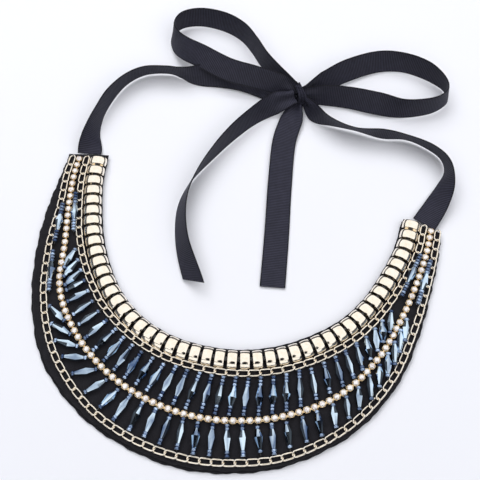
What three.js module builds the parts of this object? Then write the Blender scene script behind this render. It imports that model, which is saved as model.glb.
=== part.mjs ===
/**
 * Bib necklace: a felt crescent carrying rows of gilt tubes, chain, cup stones and faceted
 * bicone beads, closed behind the neck by two ribbon ties knotted in a bow.
 *
 * Units are millimetres. The necklace lies on its back: +Z is up, and +Y runs from the bib
 * towards the bow. Everything is drawn about the middle of the neck opening, and the last
 * lines move the middle of the whole necklace to the origin.
 */
import * as THREE from 'three';

// ---------------------------------------------------------------- driving dimensions
const MIDDLE = { x: 0.1, y: 7.6 };
const FELT_THICKNESS = 1.2;
const GAP = 0.3;
const BACKING_SHIFT = { x: -0.6, y: -0.9 };
const FELT_STEPS = 56;

const ROW_MARGIN = { start: 2.3, end: 0.4 };

const FRONT_FELT_LOW = FELT_THICKNESS + GAP;
const BEAD_BED = FRONT_FELT_LOW + FELT_THICKNESS + GAP;

const TUBE = { count: 47, length: 4.5, cordShare: 0.17, cordHeight: 1.4, gap: 0.02 };
const CHAIN = { width: 3.4, wire: 0.85, height: 1.2, pitch: 5.0, joint: 1.6 };
const STONE = { pitch: 3.6, width: 2.8, height: 2.4, link: 0.9, linkHeight: 0.8 };
const BICONE = { length: 8.6, radius: 1.8, endRadius: 0.9, lift: 0.1 };
const SEED = { pitch: 1.4, radius: 1.2, rounding: 0.35, step: 0.1 };
const THREAD_RADIUS = 0.4;
const THREAD_CLEARANCE = 2.8;
const STRING_LIFT = 1.6;
const BEAD_SIDES = 5;
const RIBBON = { thickness: 1, stepsPerSection: 4 };
const KNOT = { x: 10.6, y: 87.0, z: 5.8, width: 5.4, depth: 7.6, height: 9, corner: 1.6, inset: 0.5 };

/**
 * Sections across the bib, from its left end round to its right end. x and y lie on the
 * inner edge of the felt, heading is the way outwards in degrees, and the other columns
 * are the distances along that heading to the middle of the tubes, the inner chain, the
 * cup stones and the outer chain, and to the outer edge of the felt.
 */
const SECTIONS = [
  { x: -75.0, y: 30.0, heading: 191, tubes: 4.2, inner: 10.2, stones: 13.6, outer: 17.0, edge: 19.8 },
  { x: -73.0, y: 14.5, heading: 185, tubes: 4.4, inner: 10.6, stones: 14.6, outer: 18.4, edge: 21.8 },
  { x: -68.5, y: -1.0, heading: 190, tubes: 4.7, inner: 11.2, stones: 16.2, outer: 20.6, edge: 26.8 },
  { x: -63.0, y: -15.5, heading: 203, tubes: 4.8, inner: 11.4, stones: 18.4, outer: 26.0, edge: 32.0 },
  { x: -55.0, y: -29.5, heading: 219, tubes: 4.7, inner: 11.2, stones: 25.4, outer: 33.4, edge: 39.0 },
  { x: -45.0, y: -41.5, heading: 235, tubes: 4.6, inner: 10.9, stones: 28.0, outer: 40.5, edge: 46.0 },
  { x: -32.0, y: -50.5, heading: 250, tubes: 4.8, inner: 10.7, stones: 30.0, outer: 46.0, edge: 50.0 },
  { x: -17.0, y: -55.5, heading: 260, tubes: 5.0, inner: 10.9, stones: 31.5, outer: 49.0, edge: 52.2 },
  { x: -1.0, y: -56.5, heading: 270, tubes: 5.2, inner: 11.2, stones: 33.0, outer: 51.0, edge: 54.3 },
  { x: 14.5, y: -54.5, heading: 280, tubes: 5.4, inner: 11.5, stones: 32.9, outer: 50.7, edge: 53.8 },
  { x: 29.5, y: -49.0, heading: 290, tubes: 5.6, inner: 11.8, stones: 32.4, outer: 49.2, edge: 52.0 },
  { x: 43.0, y: -40.5, heading: 305, tubes: 5.6, inner: 11.8, stones: 30.5, outer: 43.8, edge: 47.0 },
  { x: 54.5, y: -30.0, heading: 321, tubes: 5.2, inner: 11.4, stones: 24.8, outer: 35.2, edge: 38.6 },
  { x: 63.0, y: -17.0, heading: 337, tubes: 4.8, inner: 11.0, stones: 19.6, outer: 26.8, edge: 30.0 },
  { x: 68.8, y: -2.5, heading: 350, tubes: 4.6, inner: 10.8, stones: 16.7, outer: 21.8, edge: 24.4 },
  { x: 73.0, y: 12.5, heading: 356, tubes: 4.5, inner: 10.7, stones: 14.6, outer: 18.4, edge: 20.8 },
  { x: 74.5, y: 28.5, heading: 349, tubes: 4.4, inner: 10.4, stones: 13.8, outer: 17.2, edge: 19.2 },
];

/** How far along the sections the far end of a strung spoke lies from its near end. */
const INNER_LEAN = [
  { section: 3.2, lean: 0.4 },
  { section: 3.7, lean: 0.25 },
  { section: 4.1, lean: 0.0 },
  { section: 5.0, lean: -0.05 },
  { section: 9.5, lean: -0.07 },
  { section: 11.5, lean: -0.15 },
  { section: 12.3, lean: -0.32 },
  { section: 13.1, lean: -0.48 },
];
const OUTER_LEAN = [
  { section: 4.7, lean: -0.55 },
  { section: 5.8, lean: -0.41 },
  { section: 6.5, lean: -0.16 },
  { section: 7.0, lean: -0.03 },
  { section: 9.0, lean: 0.07 },
  { section: 10.3, lean: 0.02 },
  { section: 12.0, lean: -0.26 },
  { section: 13.1, lean: -0.44 },
];

/** The two rows of strung spokes, with the strings laid lengthwise where the bib narrows. */
const BEAD_ROWS = [
  {
    name: 'bead_row_inner',
    near: 'inner',
    far: 'stones',
    lean: INNER_LEAN,
    spokes: { first: 3.2, last: 13.05, count: 34 },
    leftStrings: [{ from: 1.55, to: 2.75 }],
    rightStrings: [{ from: 13.5, to: 14.9 }],
    stringShare: 0.4,
    turnsFirst: false,
  },
  {
    name: 'bead_row_outer',
    near: 'stones',
    far: 'outer',
    lean: OUTER_LEAN,
    spokes: { first: 4.75, last: 13.1, count: 30 },
    leftStrings: [{ from: 1.9, to: 3.0 }, { from: 3.15, to: 4.0 }],
    rightStrings: [{ from: 13.5, to: 14.8 }],
    stringShare: 0.64,
    turnsFirst: true,
  },
];

/** Half-round tube bead seen from its end: across the row, and up from the felt. */
const TUBE_PROFILE = [
  { across: -4.1, up: 0.0 },
  { across: -4.1, up: 1.5 },
  { across: -2.6, up: 3.3 },
  { across: 2.6, up: 3.3 },
  { across: 4.1, up: 1.5 },
  { across: 4.1, up: 0.0 },
];

/**
 * Routes of the ribbon, 12 mm wide where it isn't gathered. x, y and z follow its middle
 * line, lean turns it about that line in degrees from lying flat (negative puts the edge on
 * the right of the route down), and width is its gathered width there. skew is how far a
 * slanting cut runs ahead on the right.
 */
const RIBBONS = [
  {
    name: 'ribbon_left_tie',
    route: [
      { x: -84.9, y: 28.7, z: 2.1, lean: 0, width: 12 },
      { x: -86.4, y: 39.0, z: 3.8, lean: -30, width: 12 },
      { x: -86.2, y: 50.0, z: 6.0, lean: -60, width: 12 },
      { x: -84.2, y: 62.0, z: 7.0, lean: -82, width: 12 },
      { x: -79.0, y: 74.0, z: 7.0, lean: -98, width: 12 },
      { x: -71.0, y: 82.0, z: 6.8, lean: -108, width: 12 },
      { x: -60.0, y: 85.3, z: 6.8, lean: -102, width: 12 },
      { x: -53.0, y: 85.4, z: 6.7, lean: -88, width: 12 },
      { x: -47.5, y: 85.0, z: 4.7, lean: -49, width: 12 },
      { x: -41.5, y: 87.6, z: 3.0, lean: -25, width: 12 },
      { x: -33.0, y: 90.6, z: 2.4, lean: -18, width: 12 },
      { x: -22.0, y: 91.2, z: 2.0, lean: -11, width: 12 },
      { x: -10.0, y: 89.6, z: 1.9, lean: -12, width: 11 },
      { x: 0.0, y: 86.0, z: 2.6, lean: -30, width: 8.5 },
      { x: 7.3, y: 84.3, z: 2.8, lean: -40, width: 5.6 },
    ],
  },
  {
    name: 'ribbon_right_tie',
    route: [
      { x: 84.6, y: 28.0, z: 2.1, lean: 0, width: 12 },
      { x: 88.6, y: 38.5, z: 3.4, lean: 18, width: 12 },
      { x: 91.4, y: 49.0, z: 5.2, lean: 45, width: 12 },
      { x: 91.4, y: 58.0, z: 7.0, lean: 80, width: 12 },
      { x: 87.5, y: 65.5, z: 7.0, lean: 102, width: 12 },
      { x: 80.0, y: 70.0, z: 6.8, lean: 108, width: 12 },
      { x: 69.0, y: 72.5, z: 6.8, lean: 112, width: 12 },
      { x: 57.0, y: 71.7, z: 7.0, lean: 112, width: 12 },
      { x: 43.0, y: 71.3, z: 7.0, lean: 112, width: 12 },
      { x: 30.0, y: 73.2, z: 6.8, lean: 105, width: 10.5 },
      { x: 20.5, y: 77.0, z: 6.0, lean: 98, width: 8.5 },
      { x: 14.2, y: 83.6, z: 5.4, lean: 92, width: 6.5 },
    ],
  },
  {
    name: 'bow_loop_left',
    route: [
      { x: 7.3, y: 90.2, z: 6.4, lean: 95, width: 7 },
      { x: -1.5, y: 95.0, z: 7.6, lean: 88, width: 9 },
      { x: -11.0, y: 102.5, z: 8.0, lean: 80, width: 11 },
      { x: -19.0, y: 112.0, z: 7.2, lean: 76, width: 12 },
      { x: -27.0, y: 119.5, z: 6.8, lean: 74, width: 12 },
      { x: -38.0, y: 124.0, z: 6.6, lean: 72, width: 12 },
      { x: -51.0, y: 124.2, z: 6.8, lean: 76, width: 12 },
      { x: -60.5, y: 119.5, z: 7.2, lean: 84, width: 12 },
      { x: -63.6, y: 111.5, z: 7.4, lean: 98, width: 12 },
      { x: -60.0, y: 104.6, z: 7.2, lean: 118, width: 12 },
      { x: -53.5, y: 98.8, z: 10.0, lean: 133, width: 12 },
      { x: -43.5, y: 93.6, z: 13.0, lean: 140, width: 12 },
      { x: -28.0, y: 89.4, z: 11.6, lean: 138, width: 12 },
      { x: -14.0, y: 88.2, z: 11.2, lean: 127, width: 11 },
      { x: -2.5, y: 88.0, z: 10.2, lean: 110, width: 9 },
      { x: 7.3, y: 88.0, z: 8.0, lean: 98, width: 5.8 },
    ],
  },
  {
    name: 'bow_loop_right',
    route: [
      { x: 13.9, y: 89.4, z: 6.4, lean: -95, width: 6.5 },
      { x: 22.5, y: 97.2, z: 7.4, lean: -72, width: 9.5 },
      { x: 33.0, y: 107.5, z: 6.8, lean: -52, width: 12 },
      { x: 47.0, y: 116.5, z: 6.6, lean: -58, width: 12 },
      { x: 60.0, y: 118.8, z: 7.0, lean: -70, width: 12 },
      { x: 72.5, y: 116.6, z: 7.0, lean: -76, width: 12 },
      { x: 82.0, y: 111.0, z: 7.0, lean: -92, width: 12 },
      { x: 85.6, y: 104.5, z: 7.0, lean: -98, width: 12 },
      { x: 83.0, y: 98.6, z: 7.0, lean: -96, width: 12 },
      { x: 76.0, y: 93.6, z: 6.8, lean: -100, width: 12 },
      { x: 64.0, y: 89.6, z: 6.8, lean: -108, width: 12 },
      { x: 51.0, y: 90.0, z: 6.4, lean: -130, width: 12 },
      { x: 37.0, y: 90.0, z: 6.6, lean: -122, width: 11.5 },
      { x: 25.0, y: 88.6, z: 6.8, lean: -100, width: 9 },
      { x: 14.0, y: 86.6, z: 6.4, lean: -88, width: 6.5 },
    ],
  },
  {
    name: 'ribbon_left_tail',
    route: [
      { x: 7.2, y: 82.4, z: 7.4, lean: 30, width: 7 },
      { x: 0.0, y: 76.8, z: 7.6, lean: 52, width: 10.5 },
      { x: -8.8, y: 67.8, z: 6.7, lean: 72, width: 12 },
      { x: -16.8, y: 55.3, z: 6.8, lean: 80, width: 12 },
      { x: -23.6, y: 41.0, z: 6.9, lean: 90, width: 12 },
      { x: -29.4, y: 25.0, z: 6.9, lean: 106, width: 12 },
      { x: -31.0, y: 9.0, z: 6.5, lean: 116, width: 12 },
      { x: -26.0, y: -9.5, z: 6.2, lean: 122, width: 12 },
      { x: -15.4, y: -28.2, z: 4.8, lean: 136, width: 12, skew: 7.5 },
    ],
  },
  {
    name: 'ribbon_right_tail',
    route: [
      { x: 10.2, y: 82.2, z: 3.2, lean: -6, width: 6 },
      { x: 9.8, y: 73.0, z: 2.6, lean: -4, width: 10.5 },
      { x: 9.0, y: 58.0, z: 1.8, lean: 3, width: 12 },
      { x: 12.2, y: 33.5, z: 1.4, lean: 4, width: 12 },
      { x: 16.5, y: 7.0, z: 1.1, lean: 2, width: 12 },
      { x: 20.6, y: -21.0, z: 1.1, lean: 0, width: 12 },
    ],
  },
];

// ---------------------------------------------------------------- finishes
const finish = (color, roughness, metalness) =>
  new THREE.MeshStandardMaterial({ color, roughness, metalness });

const FELT = () => finish(0x24242a, 0.95, 0);
const RIBBON_CLOTH = () => finish(0x2f3040, 0.8, 0);
const GILT = () => finish(0xf0dcb4, 0.25, 1);
const CUT_STONE = () => finish(0xf2e6dc, 0.1, 0.3);
const STEEL_BLUE = () => finish(0x7d93b4, 0.2, 0.8);

// ---------------------------------------------------------------- curves
/** Point of a section at a distance from the inner edge of the felt. */
function sectionPoint(section, distance, z) {
  const heading = THREE.MathUtils.degToRad(section.heading);
  const x = section.x + Math.cos(heading) * distance;
  const y = section.y + Math.sin(heading) * distance;
  return new THREE.Vector3(x, y, z);
}

/** Smooth curve through every section at the distances of one column. */
function rowCurve(column, z) {
  const points = SECTIONS.map((section) => sectionPoint(section, column ? section[column] : 0, z));
  return new THREE.CatmullRomCurve3(points, false, 'catmullrom', 0.5);
}

/** Point of a row curve at a place counted in sections, such as 3.5. */
function atSection(curve, place) {
  return curve.getPoint(place / (SECTIONS.length - 1));
}

/** Value of a column at a place counted in sections, read from a short table. */
function readTable(table, place, column) {
  const after = table.findIndex((row) => row.section >= place);
  if (after < 0) return table[table.length - 1][column];
  if (after === 0) return table[0][column];
  const low = table[after - 1];
  const high = table[after];
  const share = (place - low.section) / (high.section - low.section);
  return THREE.MathUtils.lerp(low[column], high[column], share);
}

/** Level direction to the right of a way of travel. */
function rightOf(direction) {
  return new THREE.Vector3(direction.y, -direction.x, 0).normalize();
}

// ---------------------------------------------------------------- solids
/** Six times the signed volume of a triangle list, below zero where it is inside out. */
function signedVolume(positions, indices) {
  const corner = (i) => new THREE.Vector3().fromArray(positions, indices[i] * 3);
  let total = 0;
  for (let i = 0; i < indices.length; i += 3) {
    total += corner(i).dot(corner(i + 1).cross(corner(i + 2)));
  }
  return total;
}

/** Closed solid through a list of rings, each with the same number of corners. */
function ringSolid(rings) {
  const sides = rings[0].length;
  const positions = rings.flat().flatMap((corner) => corner.toArray());
  const indices = [];
  for (let ring = 0; ring < rings.length - 1; ring += 1) {
    for (let side = 0; side < sides; side += 1) {
      const a = ring * sides + side;
      const b = ring * sides + ((side + 1) % sides);
      indices.push(a, b, a + sides, b, b + sides, a + sides);
    }
  }
  const last = (rings.length - 1) * sides;
  for (let side = 1; side < sides - 1; side += 1) {
    indices.push(0, side + 1, side);
    indices.push(last, last + side, last + side + 1);
  }
  if (signedVolume(positions, indices) < 0) indices.reverse();
  const geometry = new THREE.BufferGeometry();
  geometry.setAttribute('position', new THREE.Float32BufferAttribute(positions, 3));
  geometry.setIndex(indices);
  geometry.computeVertexNormals();
  return geometry;
}

/** Named mesh of one sub-part. */
function piece(name, geometry, material) {
  const mesh = new THREE.Mesh(geometry, material);
  mesh.name = name;
  return mesh;
}

/** Flat plate with straight sides, from an outline and holes on the level plane. */
function plate(outline, holes, low, height) {
  const shape = new THREE.Shape(outline.map((point) => new THREE.Vector2(point.x, point.y)));
  shape.holes = holes.map((hole) => {
    const corners = hole.map((point) => new THREE.Vector2(point.x, point.y));
    return new THREE.Path(corners);
  });
  const geometry = new THREE.ExtrudeGeometry(shape, { depth: height, bevelEnabled: false });
  return geometry.translate(0, 0, low);
}

// ---------------------------------------------------------------- felt
/** One layer of the crescent, between its inner and outer edges. */
function feltLayer(low) {
  const inner = rowCurve(null, 0).getPoints(FELT_STEPS);
  const outer = rowCurve('edge', 0).getPoints(FELT_STEPS);
  return plate([...inner, ...outer.reverse()], [], low, FELT_THICKNESS);
}

/** Front felt, and the backing that shows past its edge on the lower left. */
function feltPieces() {
  const front = piece('felt_front', feltLayer(FRONT_FELT_LOW), FELT());
  const backing = piece('felt_backing', feltLayer(0), FELT());
  backing.position.set(BACKING_SHIFT.x, BACKING_SHIFT.y, 0);
  return [front, backing];
}

// ---------------------------------------------------------------- rows of tubes, links and stones
/** Length along a row of curve that is covered, short of both ends of the felt. */
function coveredLength(curve) {
  return curve.getLength() - ROW_MARGIN.start - ROW_MARGIN.end;
}

/** Corners of a profile across a row, at a length along its curve and scaled about its cord. */
function profileRing(curve, along, profile, scale, middleUp) {
  const share = along / curve.getLength();
  const centre = curve.getPointAt(share);
  const across = rightOf(curve.getTangentAt(share));
  return profile.map((corner) =>
    centre
      .clone()
      .addScaledVector(across, corner.across * scale)
      .setZ(centre.z + middleUp + (corner.up - middleUp) * scale));
}

/** Tubes from number first up to number end, joined by the cord that they are strung on. */
function tubeRun(name, curve, first, end) {
  const pitch = coveredLength(curve) / TUBE.count;
  const rings = [];
  for (let tube = first; tube < end; tube += 1) {
    const middle = ROW_MARGIN.start + (tube + 0.5) * pitch;
    const low = middle - TUBE.length / 2;
    const high = middle + TUBE.length / 2;
    rings.push(profileRing(curve, low, TUBE_PROFILE, 1, TUBE.cordHeight));
    rings.push(profileRing(curve, high, TUBE_PROFILE, 1, TUBE.cordHeight));
    if (tube < end - 1) {
      const cordStart = high + TUBE.gap;
      const cordEnd = low + pitch - TUBE.gap;
      rings.push(profileRing(curve, cordStart, TUBE_PROFILE, TUBE.cordShare, TUBE.cordHeight));
      rings.push(profileRing(curve, cordEnd, TUBE_PROFILE, TUBE.cordShare, TUBE.cordHeight));
    }
  }
  return piece(name, ringSolid(rings), GILT());
}

/** Flat oblong links joined end to end, open through the middle of every link. */
function chainRow(name, column) {
  const curve = rowCurve(column, 0);
  const links = Math.round(coveredLength(curve) / CHAIN.pitch);
  const pitch = coveredLength(curve) / links;
  const offset = (along, across) => {
    const share = (ROW_MARGIN.start + along) / curve.getLength();
    return curve.getPointAt(share).addScaledVector(rightOf(curve.getTangentAt(share)), across);
  };
  const outside = CHAIN.width / 2;
  const inside = outside - CHAIN.wire;
  const right = [];
  const left = [];
  const holes = [];
  for (let link = 0; link < links; link += 1) {
    const low = link * pitch + CHAIN.joint / 2;
    const high = (link + 1) * pitch - CHAIN.joint / 2;
    right.push(offset(link * pitch, outside));
    left.push(offset(link * pitch, -outside));
    const corners = [[low, inside], [low, -inside], [high, -inside], [high, inside]];
    holes.push(corners.map(([along, across]) => offset(along, across)));
  }
  right.push(offset(links * pitch, outside));
  left.push(offset(links * pitch, -outside));
  return piece(name, plate([...right, ...left.reverse()], holes, BEAD_BED, CHAIN.height), GILT());
}

/** Square cups in one strip, narrow at the link between each cup and the next. */
function stoneChain() {
  const curve = rowCurve('stones', BEAD_BED);
  const cups = Math.round(coveredLength(curve) / STONE.pitch);
  const pitch = coveredLength(curve) / cups;
  const half = STONE.width / 2;
  const profile = [
    { across: -half, up: 0 },
    { across: -half, up: STONE.height },
    { across: half, up: STONE.height },
    { across: half, up: 0 },
  ];
  const linkScale = STONE.link / STONE.width;
  const rings = [];
  for (let cup = 0; cup < cups; cup += 1) {
    const middle = ROW_MARGIN.start + (cup + 0.5) * pitch;
    rings.push(profileRing(curve, middle - half, profile, 1, STONE.linkHeight));
    rings.push(profileRing(curve, middle + half, profile, 1, STONE.linkHeight));
    if (cup < cups - 1) {
      rings.push(profileRing(curve, middle + pitch / 2, profile, linkScale, STONE.linkHeight));
    }
  }
  return piece('stone_chain', ringSolid(rings), CUT_STONE());
}

// ---------------------------------------------------------------- strung bicones and seed beads
/** Outward level direction across a row curve, at a place counted in sections. */
function outwardAt(curve, place) {
  return rightOf(curve.getTangent(place / (SECTIONS.length - 1)));
}

/** Both ends of every spoke of a row, from its near row to its far row. */
function spokeEnds(row, near, far) {
  const { first, last, count } = row.spokes;
  return Array.from({ length: count }, (_, spoke) => {
    const place = first + ((last - first) * spoke) / (count - 1);
    const farPlace = place + readTable(row.lean, place, 'lean');
    const start = atSection(near, place).addScaledVector(outwardAt(near, place), THREAD_CLEARANCE);
    const end = atSection(far, farPlace).addScaledVector(outwardAt(far, farPlace), -THREAD_CLEARANCE);
    return { start, end };
  });
}

/** Both ends of a string laid lengthwise in the groove between the two rows. */
function stringEnds(string, near, far, share) {
  const between = (place) => {
    const point = atSection(near, place).lerp(atSection(far, place), share);
    return point.setZ(point.z + STRING_LIFT);
  };
  return { start: between(string.from), end: between(string.to) };
}

/** Distances and radii along one string: seed beads, a bicone, seed beads. */
function stringProfile(length) {
  const bicone = Math.min(BICONE.length, length - 2 * SEED.pitch);
  const seedLength = (length - bicone) / 2;
  return [
    { along: 0, radius: THREAD_RADIUS },
    { along: SEED.rounding, radius: SEED.radius },
    { along: seedLength - SEED.step, radius: SEED.radius },
    { along: seedLength, radius: BICONE.endRadius },
    { along: length / 2, radius: BICONE.radius },
    { along: length - seedLength, radius: BICONE.endRadius },
    { along: length - seedLength + SEED.step, radius: SEED.radius },
    { along: length - SEED.rounding, radius: SEED.radius },
    { along: length, radius: THREAD_RADIUS },
  ];
}

/** Ring of corners around a point, square to a level direction. */
function roundRing(centre, direction, radius) {
  const across = rightOf(direction);
  return Array.from({ length: BEAD_SIDES }, (_, side) => {
    const turn = (side * 2 * Math.PI) / BEAD_SIDES;
    return centre
      .clone()
      .addScaledVector(across, Math.cos(turn) * radius)
      .setZ(centre.z + Math.sin(turn) * radius);
  });
}

/** The same spokes with every other one turned round, as one thread would string them. */
function zigzag(spokes, turnsFirst) {
  return spokes.map((ends, index) =>
    (index % 2 === 0) === turnsFirst ? { start: ends.end, end: ends.start } : ends);
}

/** Way from one point to another, or nothing past either end of a thread. */
function directionBetween(from, to) {
  return from && to ? to.clone().sub(from).normalize() : undefined;
}

/** One thread carried along a list of legs, with the beads strung on each leg. */
function beadRun(name, legs) {
  const directions = legs.map((leg) => directionBetween(leg.start, leg.end));
  const rings = [];
  legs.forEach((leg, index) => {
    const before = directionBetween(legs[index - 1]?.end, leg.start) ?? directions[index];
    const after = directionBetween(leg.end, legs[index + 1]?.start) ?? directions[index];
    const length = leg.start.distanceTo(leg.end);
    stringProfile(length).forEach(({ along, radius }) => {
      const centre = leg.start.clone().addScaledVector(directions[index], along);
      const direction = directions[index].clone();
      if (along === 0) direction.add(before);
      if (along === length) direction.add(after);
      rings.push(roundRing(centre, direction, radius));
    });
  });
  return piece(name, ringSolid(rings), STEEL_BLUE());
}

/** A whole row of spokes as three runs: left side, centre and right side. */
function beadRow(row) {
  const height = BEAD_BED + BICONE.radius + BICONE.lift;
  const near = rowCurve(row.near, height);
  const far = rowCurve(row.far, height);
  const spokes = spokeEnds(row, near, far);
  const left = row.leftStrings.map((string) => stringEnds(string, near, far, row.stringShare));
  const right = row.rightStrings.map((string) => stringEnds(string, near, far, row.stringShare));
  const share = Math.round((spokes.length + left.length + right.length) / 3);
  const first = share - left.length;
  return [
    beadRun(`${row.name}_left`, [...left, ...zigzag(spokes.slice(0, first), row.turnsFirst)]),
    beadRun(`${row.name}_centre`, zigzag(spokes.slice(first, first + share), false)),
    beadRun(`${row.name}_right`, [...zigzag(spokes.slice(first + share), false), ...right]),
  ];
}

// ---------------------------------------------------------------- ribbon
/** Smooth curve through one or three columns of a ribbon's route. */
function routeCurve(route, read) {
  return new THREE.CatmullRomCurve3(route.map(read), false, 'catmullrom', 0.5);
}

/** Flat strip of ribbon, turned about its middle line as the route says. */
function ribbonPiece({ name, route }) {
  const middle = routeCurve(route, (row) => new THREE.Vector3(row.x, row.y, row.z));
  const shape = routeCurve(route, (row) => new THREE.Vector3(row.lean, row.width, row.skew ?? 0));
  const steps = (route.length - 1) * RIBBON.stepsPerSection;
  const rings = [];
  for (let step = 0; step <= steps; step += 1) {
    const share = step / steps;
    const centre = middle.getPoint(share);
    const along = middle.getTangent(share);
    const level = rightOf(along);
    const upright = new THREE.Vector3().crossVectors(level, along);
    const { x: lean, y: width, z: skew } = shape.getPoint(share);
    const turn = THREE.MathUtils.degToRad(lean);
    const across = level.clone().multiplyScalar(Math.cos(turn)).addScaledVector(upright, Math.sin(turn));
    const face = new THREE.Vector3().crossVectors(along, across);
    const corner = (side, layer) =>
      centre
        .clone()
        .addScaledVector(across, (side * width) / 2)
        .addScaledVector(along, (side * skew) / 2)
        .addScaledVector(face, (layer * RIBBON.thickness) / 2);
    rings.push([corner(-1, -1), corner(1, -1), corner(1, 1), corner(-1, 1)]);
  }
  return piece(name, ringSolid(rings), RIBBON_CLOTH());
}

/** Band of ribbon drawn tight round the bow, as one block with cut corners. */
function bowKnot() {
  const { width, depth, corner } = KNOT;
  const outline = (x, y) => [
    new THREE.Vector3(-x + corner, -y, 0),
    new THREE.Vector3(x - corner, -y, 0),
    new THREE.Vector3(x, -y + corner, 0),
    new THREE.Vector3(x, y - corner, 0),
    new THREE.Vector3(x - corner, y, 0),
    new THREE.Vector3(-x + corner, y, 0),
    new THREE.Vector3(-x, y - corner, 0),
    new THREE.Vector3(-x, -y + corner, 0),
  ];
  const levels = [
    { height: -KNOT.height / 2, inset: KNOT.inset },
    { height: -KNOT.height / 4, inset: 0 },
    { height: KNOT.height / 4, inset: 0 },
    { height: KNOT.height / 2, inset: KNOT.inset },
  ];
  const rings = levels.map(({ height, inset }) =>
    outline(width / 2 - inset, depth / 2 - inset).map((point) => point.setZ(height)));
  const knot = piece('bow_knot', ringSolid(rings), RIBBON_CLOTH());
  knot.position.set(KNOT.x, KNOT.y, KNOT.z);
  return knot;
}

// ---------------------------------------------------------------- the necklace
const tubeCurve = rowCurve('tubes', BEAD_BED);
const tubeThird = Math.round(TUBE.count / 3);

const necklace = new THREE.Group();
necklace.add(
  ...feltPieces(),
  tubeRun('tube_run_left', tubeCurve, 0, tubeThird),
  tubeRun('tube_run_centre', tubeCurve, tubeThird, 2 * tubeThird),
  tubeRun('tube_run_right', tubeCurve, 2 * tubeThird, TUBE.count),
  chainRow('chain_inner', 'inner'),
  chainRow('chain_outer', 'outer'),
  stoneChain(),
  ...BEAD_ROWS.flatMap(beadRow),
  ...RIBBONS.map(ribbonPiece),
  bowKnot(),
);
necklace.position.set(-MIDDLE.x, -MIDDLE.y, 0);

export default necklace;
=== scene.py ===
"""Looks of the bib necklace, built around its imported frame.

A crescent of two felts carries, from the neck outwards, half-round gilt tubes strung on a cord,
a gilt chain, a row of strung bicones, a cup chain of cut stones, a second row of bicones and a
second chain. Grosgrain ribbon ties it behind the neck in a bow. Sizes are in millimetres until
a mesh is made, and lie in the frame's own axes: +Z up from the table, +Y from bib to bow.
"""

import logging
import math
from dataclasses import dataclass
from enum import Enum
from typing import NamedTuple

import bpy
import numpy as np
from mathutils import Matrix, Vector

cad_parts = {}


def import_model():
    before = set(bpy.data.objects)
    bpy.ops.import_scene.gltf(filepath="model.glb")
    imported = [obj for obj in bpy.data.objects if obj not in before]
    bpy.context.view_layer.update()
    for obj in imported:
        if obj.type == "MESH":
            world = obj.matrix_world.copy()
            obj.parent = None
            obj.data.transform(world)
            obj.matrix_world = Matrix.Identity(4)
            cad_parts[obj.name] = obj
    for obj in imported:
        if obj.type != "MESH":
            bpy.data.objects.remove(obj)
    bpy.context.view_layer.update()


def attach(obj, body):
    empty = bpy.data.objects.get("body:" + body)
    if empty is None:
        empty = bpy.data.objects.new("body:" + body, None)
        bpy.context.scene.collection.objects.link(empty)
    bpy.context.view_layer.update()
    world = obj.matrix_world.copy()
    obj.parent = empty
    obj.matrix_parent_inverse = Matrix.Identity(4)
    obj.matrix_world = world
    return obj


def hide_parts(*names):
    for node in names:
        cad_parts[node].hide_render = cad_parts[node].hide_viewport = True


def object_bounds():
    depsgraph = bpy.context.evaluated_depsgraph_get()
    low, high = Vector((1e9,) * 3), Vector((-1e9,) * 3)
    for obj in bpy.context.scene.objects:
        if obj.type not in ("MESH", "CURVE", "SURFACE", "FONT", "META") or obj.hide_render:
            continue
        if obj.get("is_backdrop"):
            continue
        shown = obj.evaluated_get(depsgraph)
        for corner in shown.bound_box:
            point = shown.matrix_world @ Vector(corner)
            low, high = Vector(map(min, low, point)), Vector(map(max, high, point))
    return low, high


MM = 0.001
BODY = "root"
LOG = logging.getLogger("bib_necklace")

# ------------------------------------------------------------------ the necklace's lay-out
MIDDLE = np.array([0.1, 7.6, 0.0])
BED = 3.0
ROW_START = 2.3
ROW_END = 0.4


class Section(NamedTuple):
    """One section across the bib: a point of its inner edge, and distances outwards from it."""

    x: float
    y: float
    heading: float
    tubes: float
    inner: float
    stones: float
    outer: float
    edge: float


class Lean(NamedTuple):
    """How many sections the far end of a spoke lies ahead of its near end, at one section."""

    section: float
    lean: float


class Stop(NamedTuple):
    """One row of a ribbon's route: middle line, turn about it, gathered width, slant of a cut."""

    x: float
    y: float
    z: float
    lean: float
    width: float
    skew: float = 0.0


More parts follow.
